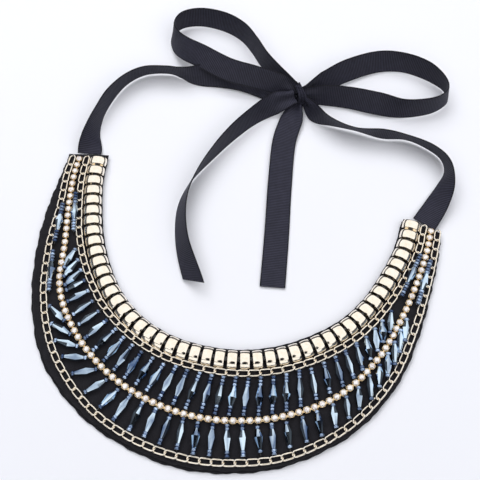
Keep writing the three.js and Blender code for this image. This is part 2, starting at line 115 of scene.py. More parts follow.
SECTIONS = (
    Section(-75.0, 30.0, 191, 4.2, 10.2, 13.6, 17.0, 19.8),
    Section(-73.0, 14.5, 185, 4.4, 10.6, 14.6, 18.4, 21.8),
    Section(-68.5, -1.0, 190, 4.7, 11.2, 16.2, 20.6, 26.8),
    Section(-63.0, -15.5, 203, 4.8, 11.4, 18.4, 26.0, 32.0),
    Section(-55.0, -29.5, 219, 4.7, 11.2, 25.4, 33.4, 39.0),
    Section(-45.0, -41.5, 235, 4.6, 10.9, 28.0, 40.5, 46.0),
    Section(-32.0, -50.5, 250, 4.8, 10.7, 30.0, 46.0, 50.0),
    Section(-17.0, -55.5, 260, 5.0, 10.9, 31.5, 49.0, 52.2),
    Section(-1.0, -56.5, 270, 5.2, 11.2, 33.0, 51.0, 54.3),
    Section(14.5, -54.5, 280, 5.4, 11.5, 32.9, 50.7, 53.8),
    Section(29.5, -49.0, 290, 5.6, 11.8, 32.4, 49.2, 52.0),
    Section(43.0, -40.5, 305, 5.6, 11.8, 30.5, 43.8, 47.0),
    Section(54.5, -30.0, 321, 5.2, 11.4, 24.8, 35.2, 38.6),
    Section(63.0, -17.0, 337, 4.8, 11.0, 19.6, 26.8, 30.0),
    Section(68.8, -2.5, 350, 4.6, 10.8, 16.7, 21.8, 24.4),
    Section(73.0, 12.5, 356, 4.5, 10.7, 14.6, 18.4, 20.8),
    Section(74.5, 28.5, 349, 4.4, 10.4, 13.8, 17.2, 19.2),
)

INNER_LEAN = (
    Lean(3.2, 0.4), Lean(3.7, 0.25), Lean(4.1, 0.0), Lean(5.0, -0.05),
    Lean(9.5, -0.07), Lean(11.5, -0.15), Lean(12.3, -0.32), Lean(13.1, -0.48),
)
OUTER_LEAN = (
    Lean(4.7, -0.55), Lean(5.8, -0.41), Lean(6.5, -0.16), Lean(7.0, -0.03),
    Lean(9.0, 0.07), Lean(10.3, 0.02), Lean(12.0, -0.26), Lean(13.1, -0.44),
)

LEFT_TIE = (
    Stop(-84.9, 28.7, 2.1, 0, 12), Stop(-86.4, 39.0, 5.3, -56, 12), Stop(-86.2, 50.0, 6.6, -80, 12),
    Stop(-84.2, 62.0, 7.0, -87, 12), Stop(-79.0, 74.0, 7.0, -98, 12), Stop(-71.0, 82.0, 6.8, -105, 12),
    Stop(-60.0, 85.3, 6.8, -108, 12), Stop(-53.0, 85.4, 6.6, -100, 12), Stop(-47.5, 85.6, 6.2, -82, 12),
    Stop(-41.5, 87.4, 5.2, -56, 12), Stop(-33.0, 90.2, 3.4, -31, 12), Stop(-22.0, 91.2, 2.2, -14, 12),
    Stop(-10.0, 89.6, 1.9, -12, 11), Stop(0.0, 86.0, 3.1, -30, 8.5), Stop(7.3, 84.3, 3.0, -40, 5.6),
)
RIGHT_TIE = (
    Stop(84.6, 28.0, 2.1, 0, 12), Stop(88.6, 38.5, 3.4, 18, 12), Stop(91.4, 49.0, 5.2, 45, 12),
    Stop(91.4, 58.0, 7.0, 80, 12), Stop(87.5, 65.5, 7.0, 102, 12), Stop(80.0, 70.0, 6.8, 108, 12),
    Stop(69.0, 72.5, 6.8, 112, 12), Stop(57.0, 71.7, 7.0, 101, 12), Stop(43.0, 71.3, 7.0, 117, 12),
    Stop(30.0, 73.2, 6.8, 104, 11.5), Stop(20.5, 77.0, 6.2, 74, 11), Stop(14.2, 83.6, 5.4, 86, 6.5),
)
LEFT_LOOP = (
    Stop(7.3, 90.2, 6.4, 90, 9), Stop(-1.5, 95.0, 7.6, 80, 11), Stop(-11.0, 102.5, 8.0, 76, 12),
    Stop(-19.0, 112.0, 7.2, 76, 12), Stop(-27.0, 119.5, 6.8, 74, 12), Stop(-38.0, 124.0, 6.6, 72, 12),
    Stop(-51.0, 124.2, 6.8, 76, 12), Stop(-60.5, 119.5, 7.2, 84, 12), Stop(-63.6, 111.5, 7.4, 98, 12),
    Stop(-60.0, 104.6, 7.2, 118, 12), Stop(-53.5, 98.8, 10.0, 133, 12), Stop(-43.5, 93.6, 13.0, 140, 12),
    Stop(-28.0, 89.4, 11.6, 138, 12), Stop(-14.0, 88.2, 11.2, 130, 12), Stop(-2.5, 88.0, 9.8, 122, 11.5),
    Stop(7.3, 87.6, 7.0, 112, 8.6),
)
RIGHT_LOOP = (
    Stop(13.9, 89.2, 6.4, -80, 8.6), Stop(22.5, 97.0, 7.4, -62, 11), Stop(33.0, 107.5, 6.8, -52, 12),
    Stop(47.0, 116.5, 6.6, -58, 12), Stop(60.0, 118.8, 7.0, -70, 12), Stop(72.5, 116.6, 7.0, -76, 12),
    Stop(82.0, 111.0, 7.0, -92, 12), Stop(85.6, 104.5, 7.0, -98, 12), Stop(83.0, 98.6, 7.0, -96, 12),
    Stop(76.0, 93.6, 6.8, -100, 12), Stop(64.0, 89.6, 6.8, -108, 12), Stop(51.0, 90.0, 6.4, -130, 12),
    Stop(37.0, 90.0, 6.6, -124, 12), Stop(25.0, 88.6, 6.8, -116, 11), Stop(14.0, 86.4, 6.4, -104, 8.6),
)
LEFT_TAIL = (
    Stop(7.2, 82.4, 7.4, 30, 7), Stop(0.0, 76.8, 7.6, 52, 10.5), Stop(-8.8, 67.8, 6.7, 72, 12),
    Stop(-16.8, 55.3, 6.8, 80, 12), Stop(-23.6, 41.0, 6.9, 90, 12), Stop(-29.4, 25.0, 6.9, 106, 12),
    Stop(-31.0, 9.0, 6.5, 116, 12), Stop(-26.0, -9.5, 6.2, 122, 12), Stop(-15.4, -28.2, 4.8, 136, 12, 7.5),
)
RIGHT_TAIL = (
    Stop(10.2, 82.2, 3.2, -6, 6), Stop(9.8, 73.0, 2.6, -4, 10.5), Stop(9.0, 58.0, 1.8, 3, 12),
    Stop(12.2, 33.5, 1.4, 4, 12), Stop(16.5, 7.0, 1.1, 2, 12), Stop(20.6, -21.0, 1.1, 0, 12),
)


# ------------------------------------------------------------------ curves
def smooth_through(knots: np.ndarray, places: np.ndarray) -> np.ndarray:
    """Smooth curve through knots, at places counted in knots.

    Between two knots the curve is the cubic that starts and ends with half the difference of
    the knots on either side; past each end the neighbour is mirrored.

    Args:
        knots: Points of the curve, one a row.
        places: Where to read it, from 0 to one less than the number of knots.

    Returns:
        One row for each place.
    """
    padded = np.vstack([2 * knots[0] - knots[1], knots, 2 * knots[-1] - knots[-2]])
    first = np.clip(np.floor(places).astype(int), 0, len(knots) - 2)
    t = (places - first)[:, None]
    before, start, end, after = (padded[first + step] for step in range(4))
    leaving = (end - before) / 2
    arriving = (after - start) / 2
    cubic = 2 * (start - end) + leaving + arriving
    square = 3 * (end - start) - 2 * leaving - arriving
    return ((cubic * t + square) * t + leaving) * t + start


def unit(vectors: np.ndarray) -> np.ndarray:
    """The same vectors at length one."""
    return vectors / np.linalg.norm(vectors, axis=-1, keepdims=True)


class Line:
    """A curve measured along its own length."""

    def __init__(self, points: np.ndarray) -> None:
        """Measure a dense list of points.

        Args:
            points: Points of the curve in order, one a row.
        """
        self.points = points
        steps = np.linalg.norm(np.diff(points, axis=0), axis=1)
        self.measure = np.concatenate([[0.0], np.cumsum(steps)])
        self.length = float(self.measure[-1])

    def at(self, along: np.ndarray) -> np.ndarray:
        """Points at these lengths from the start."""
        columns = [np.interp(along, self.measure, self.points[:, k]) for k in range(3)]
        return np.stack(columns, axis=-1)

    def direction(self, along: np.ndarray, reach: float = 0.6) -> np.ndarray:
        """Way of travel at these lengths: the chord over a short reach on either side."""
        inside = np.clip(along, 0, self.length)
        low = np.maximum(inside - reach, 0)
        high = np.minimum(inside + reach, self.length)
        return unit(self.at(high) - self.at(low))


def right_of(direction: np.ndarray) -> np.ndarray:
    """Level direction to the right of each way of travel."""
    level = np.stack([direction[..., 1], -direction[..., 0], np.zeros(direction.shape[:-1])], -1)
    return unit(level)


class Bib:
    """The rows of the bib, as curves worked out from its sections."""

    def __init__(self) -> None:
        """Place every section's points."""
        self.table = np.array(SECTIONS)
        self.last = len(SECTIONS) - 1

    def knots(self, column: str, height: float) -> np.ndarray:
        """Points of one row at every section.

        Args:
            column: A distance column of Section, or "neck" for the inner edge.
            height: Height above the table.

        Returns:
            One point a section.
        """
        heading = np.radians(self.table[:, 2])
        index = Section._fields.index(column) if column != "neck" else None
        out = self.table[:, index] if index is not None else np.zeros(len(self.table))
        x = self.table[:, 0] + np.cos(heading) * out
        y = self.table[:, 1] + np.sin(heading) * out
        return np.stack([x, y, np.full_like(x, height)], axis=-1) - MIDDLE

    def spot(self, column: str, places: np.ndarray, height: float) -> np.ndarray:
        """Points of a row at places counted in sections."""
        return smooth_through(self.knots(column, height), np.asarray(places, float))

    def outward(self, column: str, places: np.ndarray) -> np.ndarray:
        """Outward level direction across a row at places counted in sections."""
        step = 0.01
        ahead = self.spot(column, np.minimum(places + step, self.last), 0)
        behind = self.spot(column, np.maximum(places - step, 0), 0)
        return right_of(unit(ahead - behind))

    def evenly(self, line: Line, pitch: float = 0.0, count: int = 0) -> tuple[np.ndarray, float]:
        """Middles of things set side by side along a row, short of both ends of the felt.

        Args:
            line: The row.
            pitch: About how far apart they are, where the count isn't given.
            count: How many there are, where it is known.

        Returns:
            Lengths from the start of the row, and the exact pitch.
        """
        covered = line.length - ROW_START - ROW_END
        count = count or round(covered / pitch)
        return ROW_START + (np.arange(count) + 0.5) * covered / count, covered / count

    def line(self, column: str, height: float) -> Line:
        """A whole row as a measured curve."""
        return Line(self.spot(column, np.linspace(0, self.last, 1601), height))


# ------------------------------------------------------------------ meshes
class Shell(NamedTuple):
    """Points and faces of closed surfaces, with a flat pair of numbers at each point."""

    points: np.ndarray
    quads: np.ndarray
    triangles: np.ndarray
    flat: np.ndarray


def join(shells: list[Shell]) -> Shell:
    """Several shells as one list of points and faces.

    Args:
        shells: The shells, in order.

    Returns:
        One shell that holds them all.
    """
    starts = np.cumsum([0] + [len(shell.points) for shell in shells[:-1]])
    return Shell(
        np.vstack([shell.points for shell in shells]),
        np.vstack([shell.quads + start for shell, start in zip(shells, starts)]),
        np.vstack([shell.triangles + start for shell, start in zip(shells, starts)]),
        np.vstack([shell.flat for shell in shells]),
    )


def sweep(rings: np.ndarray, looped: bool, flat: np.ndarray | None = None) -> Shell:
    """Closed surfaces through rings of corners, many alike at once.

    Corner k of each ring is joined to corner k of the next. An open run of rings is closed by a
    fan of triangles about the middle of its first ring and of its last; a looped run goes back
    to its first ring.

    Args:
        rings: Corners, as an array of solids by rings by corners by three.
        looped: Whether the last ring joins the first.
        flat: A pair of numbers for each corner, as solids by rings by corners by two.

    Returns:
        The surfaces, with faces outwards.
    """
    solids, count, corners, _ = rings.shape
    flat = np.zeros((solids, count, corners, 2)) if flat is None else flat
    ring, corner = np.meshgrid(np.arange(count if looped else count - 1), np.arange(corners), indexing="ij")
    ring_after = (ring + 1) % count
    corner_after = (corner + 1) % corners
    quads = np.stack(
        [ring * corners + corner, ring * corners + corner_after,
         ring_after * corners + corner_after, ring_after * corners + corner], -1,
    ).reshape(-1, 4)
    points = rings.reshape(solids, -1, 3)
    pairs = flat.reshape(solids, -1, 2)
    triangles = np.zeros((0, 3), int)
    if not looped:
        ends = rings[:, [0, -1]].mean(axis=2)
        points = np.concatenate([points, ends], axis=1)
        pairs = np.concatenate([pairs, flat[:, [0, -1]].mean(axis=2)], axis=1)
        k = np.arange(corners)
        after = (k + 1) % corners
        last = (count - 1) * corners
        first_cap = np.stack([np.full(corners, count * corners), after, k], -1)
        last_cap = np.stack([np.full(corners, count * corners + 1), last + k, last + after], -1)
        triangles = np.vstack([first_cap, last_cap])
    offsets = np.arange(solids)[:, None, None] * points.shape[1]
    shell = Shell(
        points.reshape(-1, 3),
        (quads[None] + offsets).reshape(-1, 4),
        (triangles[None] + offsets).reshape(-1, 3),
        pairs.reshape(-1, 2),
    )
    return outward_facing(shell)


def outward_facing(shell: Shell) -> Shell:
    """The shell, turned over if its signed volume says that it is inside out."""
    a, b, c, d = (shell.points[shell.quads[:, k]] for k in range(4))
    volume = (a * np.cross(b, c)).sum() + (a * np.cross(c, d)).sum()
    if len(shell.triangles):
        a, b, c = (shell.points[shell.triangles[:, k]] for k in range(3))
        volume += (a * np.cross(b, c)).sum()
    if volume > 0:
        return shell
    return shell._replace(quads=shell.quads[:, ::-1], triangles=shell.triangles[:, ::-1])


def placed(template: np.ndarray, origins: np.ndarray, axes: np.ndarray) -> np.ndarray:
    """A template drawn at many places.

    Args:
        template: Corners by three, or solids by corners by three, in the place's own axes.
        origins: One point a place.
        axes: Places by three by three: rows along, across and up.

    Returns:
        Places by the template's corners by three.
    """
    shape = template.shape if template.ndim > 2 else (1, *template.shape)
    flat = np.broadcast_to(template.reshape(shape[0], -1, 3), (len(origins), int(np.prod(shape[1:-1])), 3))
    turned = np.einsum("pck,pkx->pcx", flat, axes) + origins[:, None, :]
    return turned.reshape(len(origins), *shape[1:])


def frame_axes(direction: np.ndarray) -> np.ndarray:
    """Rows along, across to the right and up, for each way of travel."""
    across = right_of(direction)
    up = np.cross(across, direction)
    return np.stack([direction, across, up], axis=1)


@dataclass(frozen=True)
class Piece:
    """How one finished piece is named, shaded and tied to the frame."""

    name: str
    slot: str
    nodes: tuple[str, ...]
    smooth: bool = True
    crease: float = 40.0

    def make(self, shell: Shell, material: bpy.types.Material,
             shade: np.ndarray | None = None) -> bpy.types.Object:
        """Put a shell into a mesh object, dress it and tie it to the frame.

        Args:
            shell: The surface, in millimetres.
            material: Its finish.
            shade: A number for each point or each face, kept as the attribute "shade".

        Returns:
            The finished object, at the origin.
        """
        mesh = bpy.data.meshes.new(self.name)
        mesh.from_pydata((shell.points * MM).tolist(), [], shell.quads.tolist() + shell.triangles.tolist())
        corners = np.zeros(len(mesh.loops), int)
        mesh.loops.foreach_get("vertex_index", corners)
        layer = mesh.uv_layers.new(name="lay")
        layer.data.foreach_set("uv", shell.flat[corners].astype(np.float32).ravel())
        if shade is not None:
            domain = "POINT" if len(shade) == len(shell.points) else "FACE"
            attribute = mesh.attributes.new("shade", "FLOAT", domain)
            attribute.data.foreach_set("value", shade.astype(np.float32))
        mesh.polygons.foreach_set("use_smooth", np.full(len(mesh.polygons), self.smooth))
        mesh.materials.append(material)
        if self.smooth:
            mesh.set_sharp_from_angle(angle=math.radians(self.crease))
        mesh.update()
        piece = bpy.data.objects.new(self.name, mesh)
        bpy.context.scene.collection.objects.link(piece)
        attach(piece, BODY)
        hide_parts(*self.nodes)
        LOG.info("%s: %d faces", self.name, len(mesh.polygons))
        return piece


# ------------------------------------------------------------------ finishes
class Recipe:
    """A material's node tree, with short ways to add and join its nodes."""

    def __init__(self, name: str) -> None:
        """Start a material with its surface shader.

        Args:
            name: The material's name.
        """
        self.material = bpy.data.materials.new(name)
        self.material.use_nodes = True
        self.tree = self.material.node_tree
        self.shader = next(node for node in self.tree.nodes if node.type == "BSDF_PRINCIPLED")

    def set(self, **sockets: float | tuple) -> None:
        """Set numbers and colours on the surface shader's own sockets."""
        for name, value in sockets.items():
            self.shader.inputs[name.replace("_", " ")].default_value = value

    def node(self, kind: str, **settings: object) -> bpy.types.Node:
        """Add a node; a setting named after a socket fills it, and any other is a property."""
        node = self.tree.nodes.new(kind)
        for name, value in settings.items():
            socket = name.replace("_", " ")
            if socket in node.inputs:
                node.inputs[socket].default_value = value
            else:
                setattr(node, name, value)
        return node

    def link(self, source: bpy.types.NodeSocket, target: bpy.types.NodeSocket) -> None:
        """Join two sockets."""
        self.tree.links.new(source, target)

    def millimetres(self, scale: tuple[float, float, float] = (1, 1, 1)) -> bpy.types.NodeSocket:
        """Object coordinates in millimetres, stretched by a scale."""
        coordinates = self.node("ShaderNodeTexCoord")
        mapping = self.node("ShaderNodeMapping", Scale=tuple(s / MM for s in scale))
        self.link(coordinates.outputs["Object"], mapping.inputs["Vector"])
        return mapping.outputs["Vector"]

    def lay(self, scale: tuple[float, float]) -> bpy.types.NodeSocket:
        """The piece's own flat map, in millimetres, stretched by a scale."""
        flat = self.node("ShaderNodeUVMap", uv_map="lay")
        mapping = self.node("ShaderNodeMapping", Scale=(*scale, 1))
        self.link(flat.outputs["UV"], mapping.inputs["Vector"])
        return mapping.outputs["Vector"]

    def noise(self, vector: bpy.types.NodeSocket, scale: float, detail: float = 3) -> bpy.types.NodeSocket:
        """A grey noise of so many waves a unit."""
        noise = self.node("ShaderNodeTexNoise", Scale=scale, Detail=detail, Roughness=0.6)
        self.link(vector, noise.inputs["Vector"])
        return noise.outputs["Fac"]

    def ramp(self, factor: bpy.types.NodeSocket,
             stops: tuple[tuple[float, tuple], ...]) -> bpy.types.NodeSocket:
        """A colour that runs through stops of place and colour."""
        ramp = self.node("ShaderNodeValToRGB")
        elements = ramp.color_ramp.elements
        while len(elements) < len(stops):
            elements.new(0.5)
        for element, (place, colour) in zip(elements, stops):
            element.position = place
            element.color = (*colour, 1)
        self.link(factor, ramp.inputs["Fac"])
        return ramp.outputs["Color"]

    def spread(self, factor: bpy.types.NodeSocket, low: float, high: float) -> bpy.types.NodeSocket:
        """A number from low to high as the factor goes from nought to one."""
        spread = self.node("ShaderNodeMapRange")
        spread.inputs["To Min"].default_value = low
        spread.inputs["To Max"].default_value = high
        self.link(factor, spread.inputs["Value"])
        return spread.outputs["Result"]

    def bump(self, height: bpy.types.NodeSocket, strength: float, depth: float,
             under: bpy.types.NodeSocket | None = None) -> bpy.types.NodeSocket:
        """A bump of a depth in millimetres, laid over another."""
        bump = self.node("ShaderNodeBump", Strength=strength, Distance=depth * MM)
        self.link(height, bump.inputs["Height"])
        if under is not None:
            self.link(under, bump.inputs["Normal"])
        return bump.outputs["Normal"]


@dataclass(frozen=True)
class Felt:
    """Pressed wool felt: matte, with tangled fibres and a faint mottling."""

    dark: tuple[float, float, float] = (0.005, 0.005, 0.007)
    light: tuple[float, float, float] = (0.024, 0.023, 0.028)
    fibre: float = 2.6
    mottle: float = 0.22

    def material(self) -> bpy.types.Material:
        """Two noises, one fine and one broad, give colour; the fine one also gives the nap."""
        recipe = Recipe("felt")
        recipe.set(Roughness=0.95, Sheen_Weight=0.05, Sheen_Roughness=0.5, Specular_IOR_Level=0.15)
        place = recipe.millimetres()
        fibres = recipe.noise(place, self.fibre, 5)
        broad = recipe.noise(place, self.mottle, 2)
        mixed = recipe.node("ShaderNodeMath", operation="MULTIPLY_ADD")
        recipe.link(broad, mixed.inputs[0])
        mixed.inputs[1].default_value = 0.35
        recipe.link(recipe.spread(fibres, -0.15, 0.85), mixed.inputs[2])
        colour = recipe.ramp(mixed.outputs[0], ((0.25, self.dark), (0.8, self.light)))
        recipe.link(colour, recipe.shader.inputs["Base Color"])
        recipe.link(recipe.bump(fibres, 0.7, 0.3), recipe.shader.inputs["Normal"])
        return recipe.material


@dataclass(frozen=True)
class Gilt:
    """Pale gold plate, polished, with a slight unevenness in its gloss and colour."""

    name: str
    pale: tuple[float, float, float] = (1.0, 0.93, 0.82)
    deep: tuple[float, float, float] = (0.97, 0.86, 0.70)
    gloss: tuple[float, float] = (0.06, 0.16)

    def material(self) -> bpy.types.Material:
        """A soft noise moves the colour between pale and deep and the roughness with it."""
        recipe = Recipe(self.name)
        recipe.set(Metallic=1.0)
        place = recipe.millimetres()
        cloud = recipe.noise(place, 0.5, 3)
        colour = recipe.ramp(cloud, ((0.3, self.deep), (0.62, self.pale)))
        recipe.link(colour, recipe.shader.inputs["Base Color"])
        recipe.link(recipe.spread(cloud, self.gloss[1], self.gloss[0]), recipe.shader.inputs["Roughness"])
        scuffs = recipe.noise(recipe.millimetres((6, 1, 6)), 1.4, 2)
        recipe.link(recipe.bump(scuffs, 0.12, 0.05), recipe.shader.inputs["Normal"])
        return recipe.material


@dataclass(frozen=True)
class SteelBlue:
    """Metallic blue coat on glass beads, a little different from bead to bead."""

    name: str
    dark: tuple[float, float, float] = (0.07, 0.12, 0.24)
    light: tuple[float, float, float] = (0.70, 0.86, 1.0)

    def material(self) -> bpy.types.Material:
        """The attribute "shade" picks each bead's colour, and on the bicones each facet's painted reflection;
        a thin clear coat keeps it bright.
        """
        recipe = Recipe(self.name)
        recipe.set(Metallic=1.0, Roughness=0.06, Coat_Weight=0.3, Coat_Roughness=0.02)
        shade = recipe.node("ShaderNodeAttribute", attribute_name="shade")
        tinge = recipe.noise(recipe.millimetres(), 0.8, 2)
        mixed = recipe.node("ShaderNodeMath", operation="MULTIPLY_ADD")
        recipe.link(tinge, mixed.inputs[0])
        mixed.inputs[1].default_value = 0.2
        recipe.link(shade.outputs["Fac"], mixed.inputs[2])
        colour = recipe.ramp(mixed.outputs[0], ((0.15, self.dark), (1.0, self.light)))
        recipe.link(colour, recipe.shader.inputs["Base Color"])
        return recipe.material


@dataclass(frozen=True)
class CutStone:
    """Foiled clear stone: bright and pale, with painted rose and grey glints in its facets."""

    def material(self) -> bpy.types.Material:
        """Small cells scatter the colour as painted glints, standing in for the reflections in the facets of
        a foiled back.
        """
        recipe = Recipe("cut_stone")
        recipe.set(Metallic=0.55, Roughness=0.08, Coat_Weight=1.0, Coat_Roughness=0.02)
        cells = recipe.node("ShaderNodeTexVoronoi", Scale=1.5)
        recipe.link(recipe.millimetres(), cells.inputs["Vector"])
        # Painted glints: rose, grey and white cells stand in for reflections in the facets.
        colour = recipe.ramp(
            cells.outputs["Color"],
            ((0.15, (0.66, 0.58, 0.58)), (0.4, (0.96, 0.91, 0.90)), (0.8, (1.0, 0.99, 0.98))),
        )
        recipe.link(colour, recipe.shader.inputs["Base Color"])
        recipe.link(recipe.bump(cells.outputs["Distance"], 0.25, 0.2), recipe.shader.inputs["Normal"])
        return recipe.material


@dataclass(frozen=True)
class Grosgrain:
    """Ribbed ribbon cloth: crosswise ribs, fine lengthwise threads and a plain edge."""

    # The face colour is painted highlight on the rib crests and the groove colour painted shade between the
    # ribs; the edge colour makes the edges darker.
    face: tuple[float, float, float] = (0.036, 0.036, 0.058)
    painted_groove_shade: tuple[float, float, float] = (0.006, 0.006, 0.011)
    edge: tuple[float, float, float] = (0.002, 0.002, 0.004)
    threads: float = 5.0

    def material(self) -> bpy.types.Material:
        """Painted shade darkens the ribs in their grooves and a painted highlight lightens their crests, the
        colour is darker towards the edges, and threads run lengthwise.
        """
        recipe = Recipe("grosgrain")
        recipe.set(Roughness=0.6, Sheen_Weight=0.05, Sheen_Roughness=0.4, Specular_IOR_Level=0.22)
        recipe.set(Sheen_Tint=(0.75, 0.78, 1.0, 1.0))
        crest = recipe.node("ShaderNodeAttribute", attribute_name="shade")
        # The attribute shade carries painted highlight on the rib crests, painted shade in the grooves, and
        # darkening towards the edges.
        colour = recipe.ramp(crest.outputs["Fac"], ((0.0, self.edge), (0.25, self.painted_groove_shade), (1.0, self.face)))
        cloud = recipe.noise(recipe.millimetres(), 0.35, 3)
        mixed = recipe.node("ShaderNodeMix", data_type="RGBA", blend_type="MULTIPLY")
        mixed.inputs["Factor"].default_value = 1.0
        recipe.link(colour, mixed.inputs["A"])
        recipe.link(recipe.ramp(cloud, ((0.2, (0.8, 0.8, 0.8)), (0.8, (1.2, 1.2, 1.2)))), mixed.inputs["B"])
        recipe.link(mixed.outputs["Result"], recipe.shader.inputs["Base Color"])
        weave = recipe.noise(recipe.lay((0.6, self.threads)), 1.0, 2)
        recipe.link(recipe.bump(weave, 0.35, 0.12), recipe.shader.inputs["Normal"])
        return recipe.material


@dataclass(frozen=True)
class WaxedCord:
    """Black waxed cord or thread, with a low gloss."""

    name: str
    gloss: float

    def material(self) -> bpy.types.Material:
        """Near black, with a fine noise for its twisted strands."""
        recipe = Recipe(self.name)
        recipe.set(Roughness=self.gloss, Coat_Weight=0.4, Coat_Roughness=0.2)
        strands = recipe.noise(recipe.millimetres(), 2.5, 3)
        colour = recipe.ramp(strands, ((0.3, (0.006, 0.006, 0.007)), (0.75, (0.035, 0.031, 0.03))))
        recipe.link(colour, recipe.shader.inputs["Base Color"])
        recipe.link(recipe.bump(strands, 0.6, 0.15), recipe.shader.inputs["Normal"])
        return recipe.material


# ------------------------------------------------------------------ felt
@dataclass(frozen=True)
class FeltCrescent:
    """The two felts that the rows are sewn to, one over the other."""

    thickness: float = 1.25
    rounding: float = 0.5
    along: int = 420
    across: int = 22
    wobble: float = 0.2

    def side_places(self, count: int, width: float) -> np.ndarray:
        """Places from nought to one that crowd towards both ends, over the rounded edge.

        Args:
            count: How many places lie between the edges' own.
            width: The width that nought to one stands for.

        Returns:
            The places in order.
        """
        near = self.rounding * np.array([0.0, 0.04, 0.15, 0.35, 0.65, 1.0]) / width
        middle = np.linspace(near[-1], 1 - near[-1], count)[1:-1]
        return np.concatenate([near, middle, 1 - near[::-1]])

    def layer(self, bib: Bib, low: float, shift: tuple[float, float], phase: float) -> Shell:
        """One felt: its thickness falls away in a quarter round at every edge.

        The top is the middle height plus half the thickness times the height of a quarter
        circle at the distance from the nearest edge, and the underside mirrors it. The inner
        and outer edges wander by a sum of two waves, as scissors leave them.

        Args:
            bib: The lay-out.
            low: Height of the underside.
            shift: How far the felt lies off its mate, across and along.
            phase: Where the waves of the cut start.

        Returns:
            One closed shell.
        """
        down = self.side_places(self.along, 240.0)
        over = self.side_places(self.across, 40.0)
        places = down * bib.last
        neck = bib.spot("neck", places, 0)
        edge = bib.spot("edge", places, 0)
        way = unit(edge - neck)
        turns = 2 * np.pi * down[:, None]
        cut = self.wobble * (np.sin(31 * turns + phase) + 0.6 * np.sin(73 * turns + 2 * phase))
        width = np.linalg.norm(edge - neck, axis=1)
        edge = edge + way * cut
        neck = neck + way * cut * 0.4
        grid = neck[:, None] + (edge - neck)[:, None] * over[None, :, None]
        from_side = np.minimum(over, 1 - over)[None, :] * width[:, None]
        from_end = np.minimum(down, 1 - down)[:, None] * 240.0
        inside = np.clip(np.minimum(from_side, from_end) / self.rounding, 0, 1)
        half = self.thickness / 2 * np.sqrt(1 - (1 - inside) ** 2)
        nap = 0.05 * np.sin(grid[..., 0] * 0.9 + phase) * np.sin(grid[..., 1] * 1.1)
        middle = low + self.thickness / 2
        grid = grid + np.array([shift[0], shift[1], 0.0])
        top = grid + np.stack([0 * half, 0 * half, middle + half + nap * (half > 0)], -1)
        under = grid + np.stack([0 * half, 0 * half, middle - half], -1)
        rows, columns = half.shape
        rings = np.concatenate([top, under[:, -2:0:-1]], axis=1)
        ends = self.close_ends(rows, columns)
        body = sweep(rings[None], looped=False)
        keep = len(rings.reshape(-1, 3))
        return Shell(body.points[:keep], np.vstack([body.quads, ends]), np.zeros((0, 3), int),
                     body.flat[:keep])

    def close_ends(self, rows: int, columns: int) -> np.ndarray:
        """Quads that sew the top edge to the underside at the two short ends.

        Args:
            rows: Rings along the crescent.
            columns: Points across its top.

        Returns:
            Four corners a row.
        """
        size = 2 * columns - 2
        top = np.arange(columns)
        under = (size - top) % size
        quads = []
        for start, flip in ((0, False), ((rows - 1) * size, True)):
            quad = np.stack([top[:-1], top[1:], under[1:], under[:-1]], -1)[1:-1] + start
            corners = quad[:, ::-1] if flip else quad
            quads.append(corners)
        return np.vstack(quads)

    def build(self, bib: Bib) -> None:
        felt = Felt().material()
        front = Piece("front_felt", "felt", ("felt_front",))
        backing = Piece("backing_felt", "felt", ("felt_backing",))
        upper = front.make(self.layer(bib, 1.45, (0, 0), 0.4), felt)
        lower = backing.make(self.layer(bib, 0.0, (-0.6, -0.9), 1.9), felt)


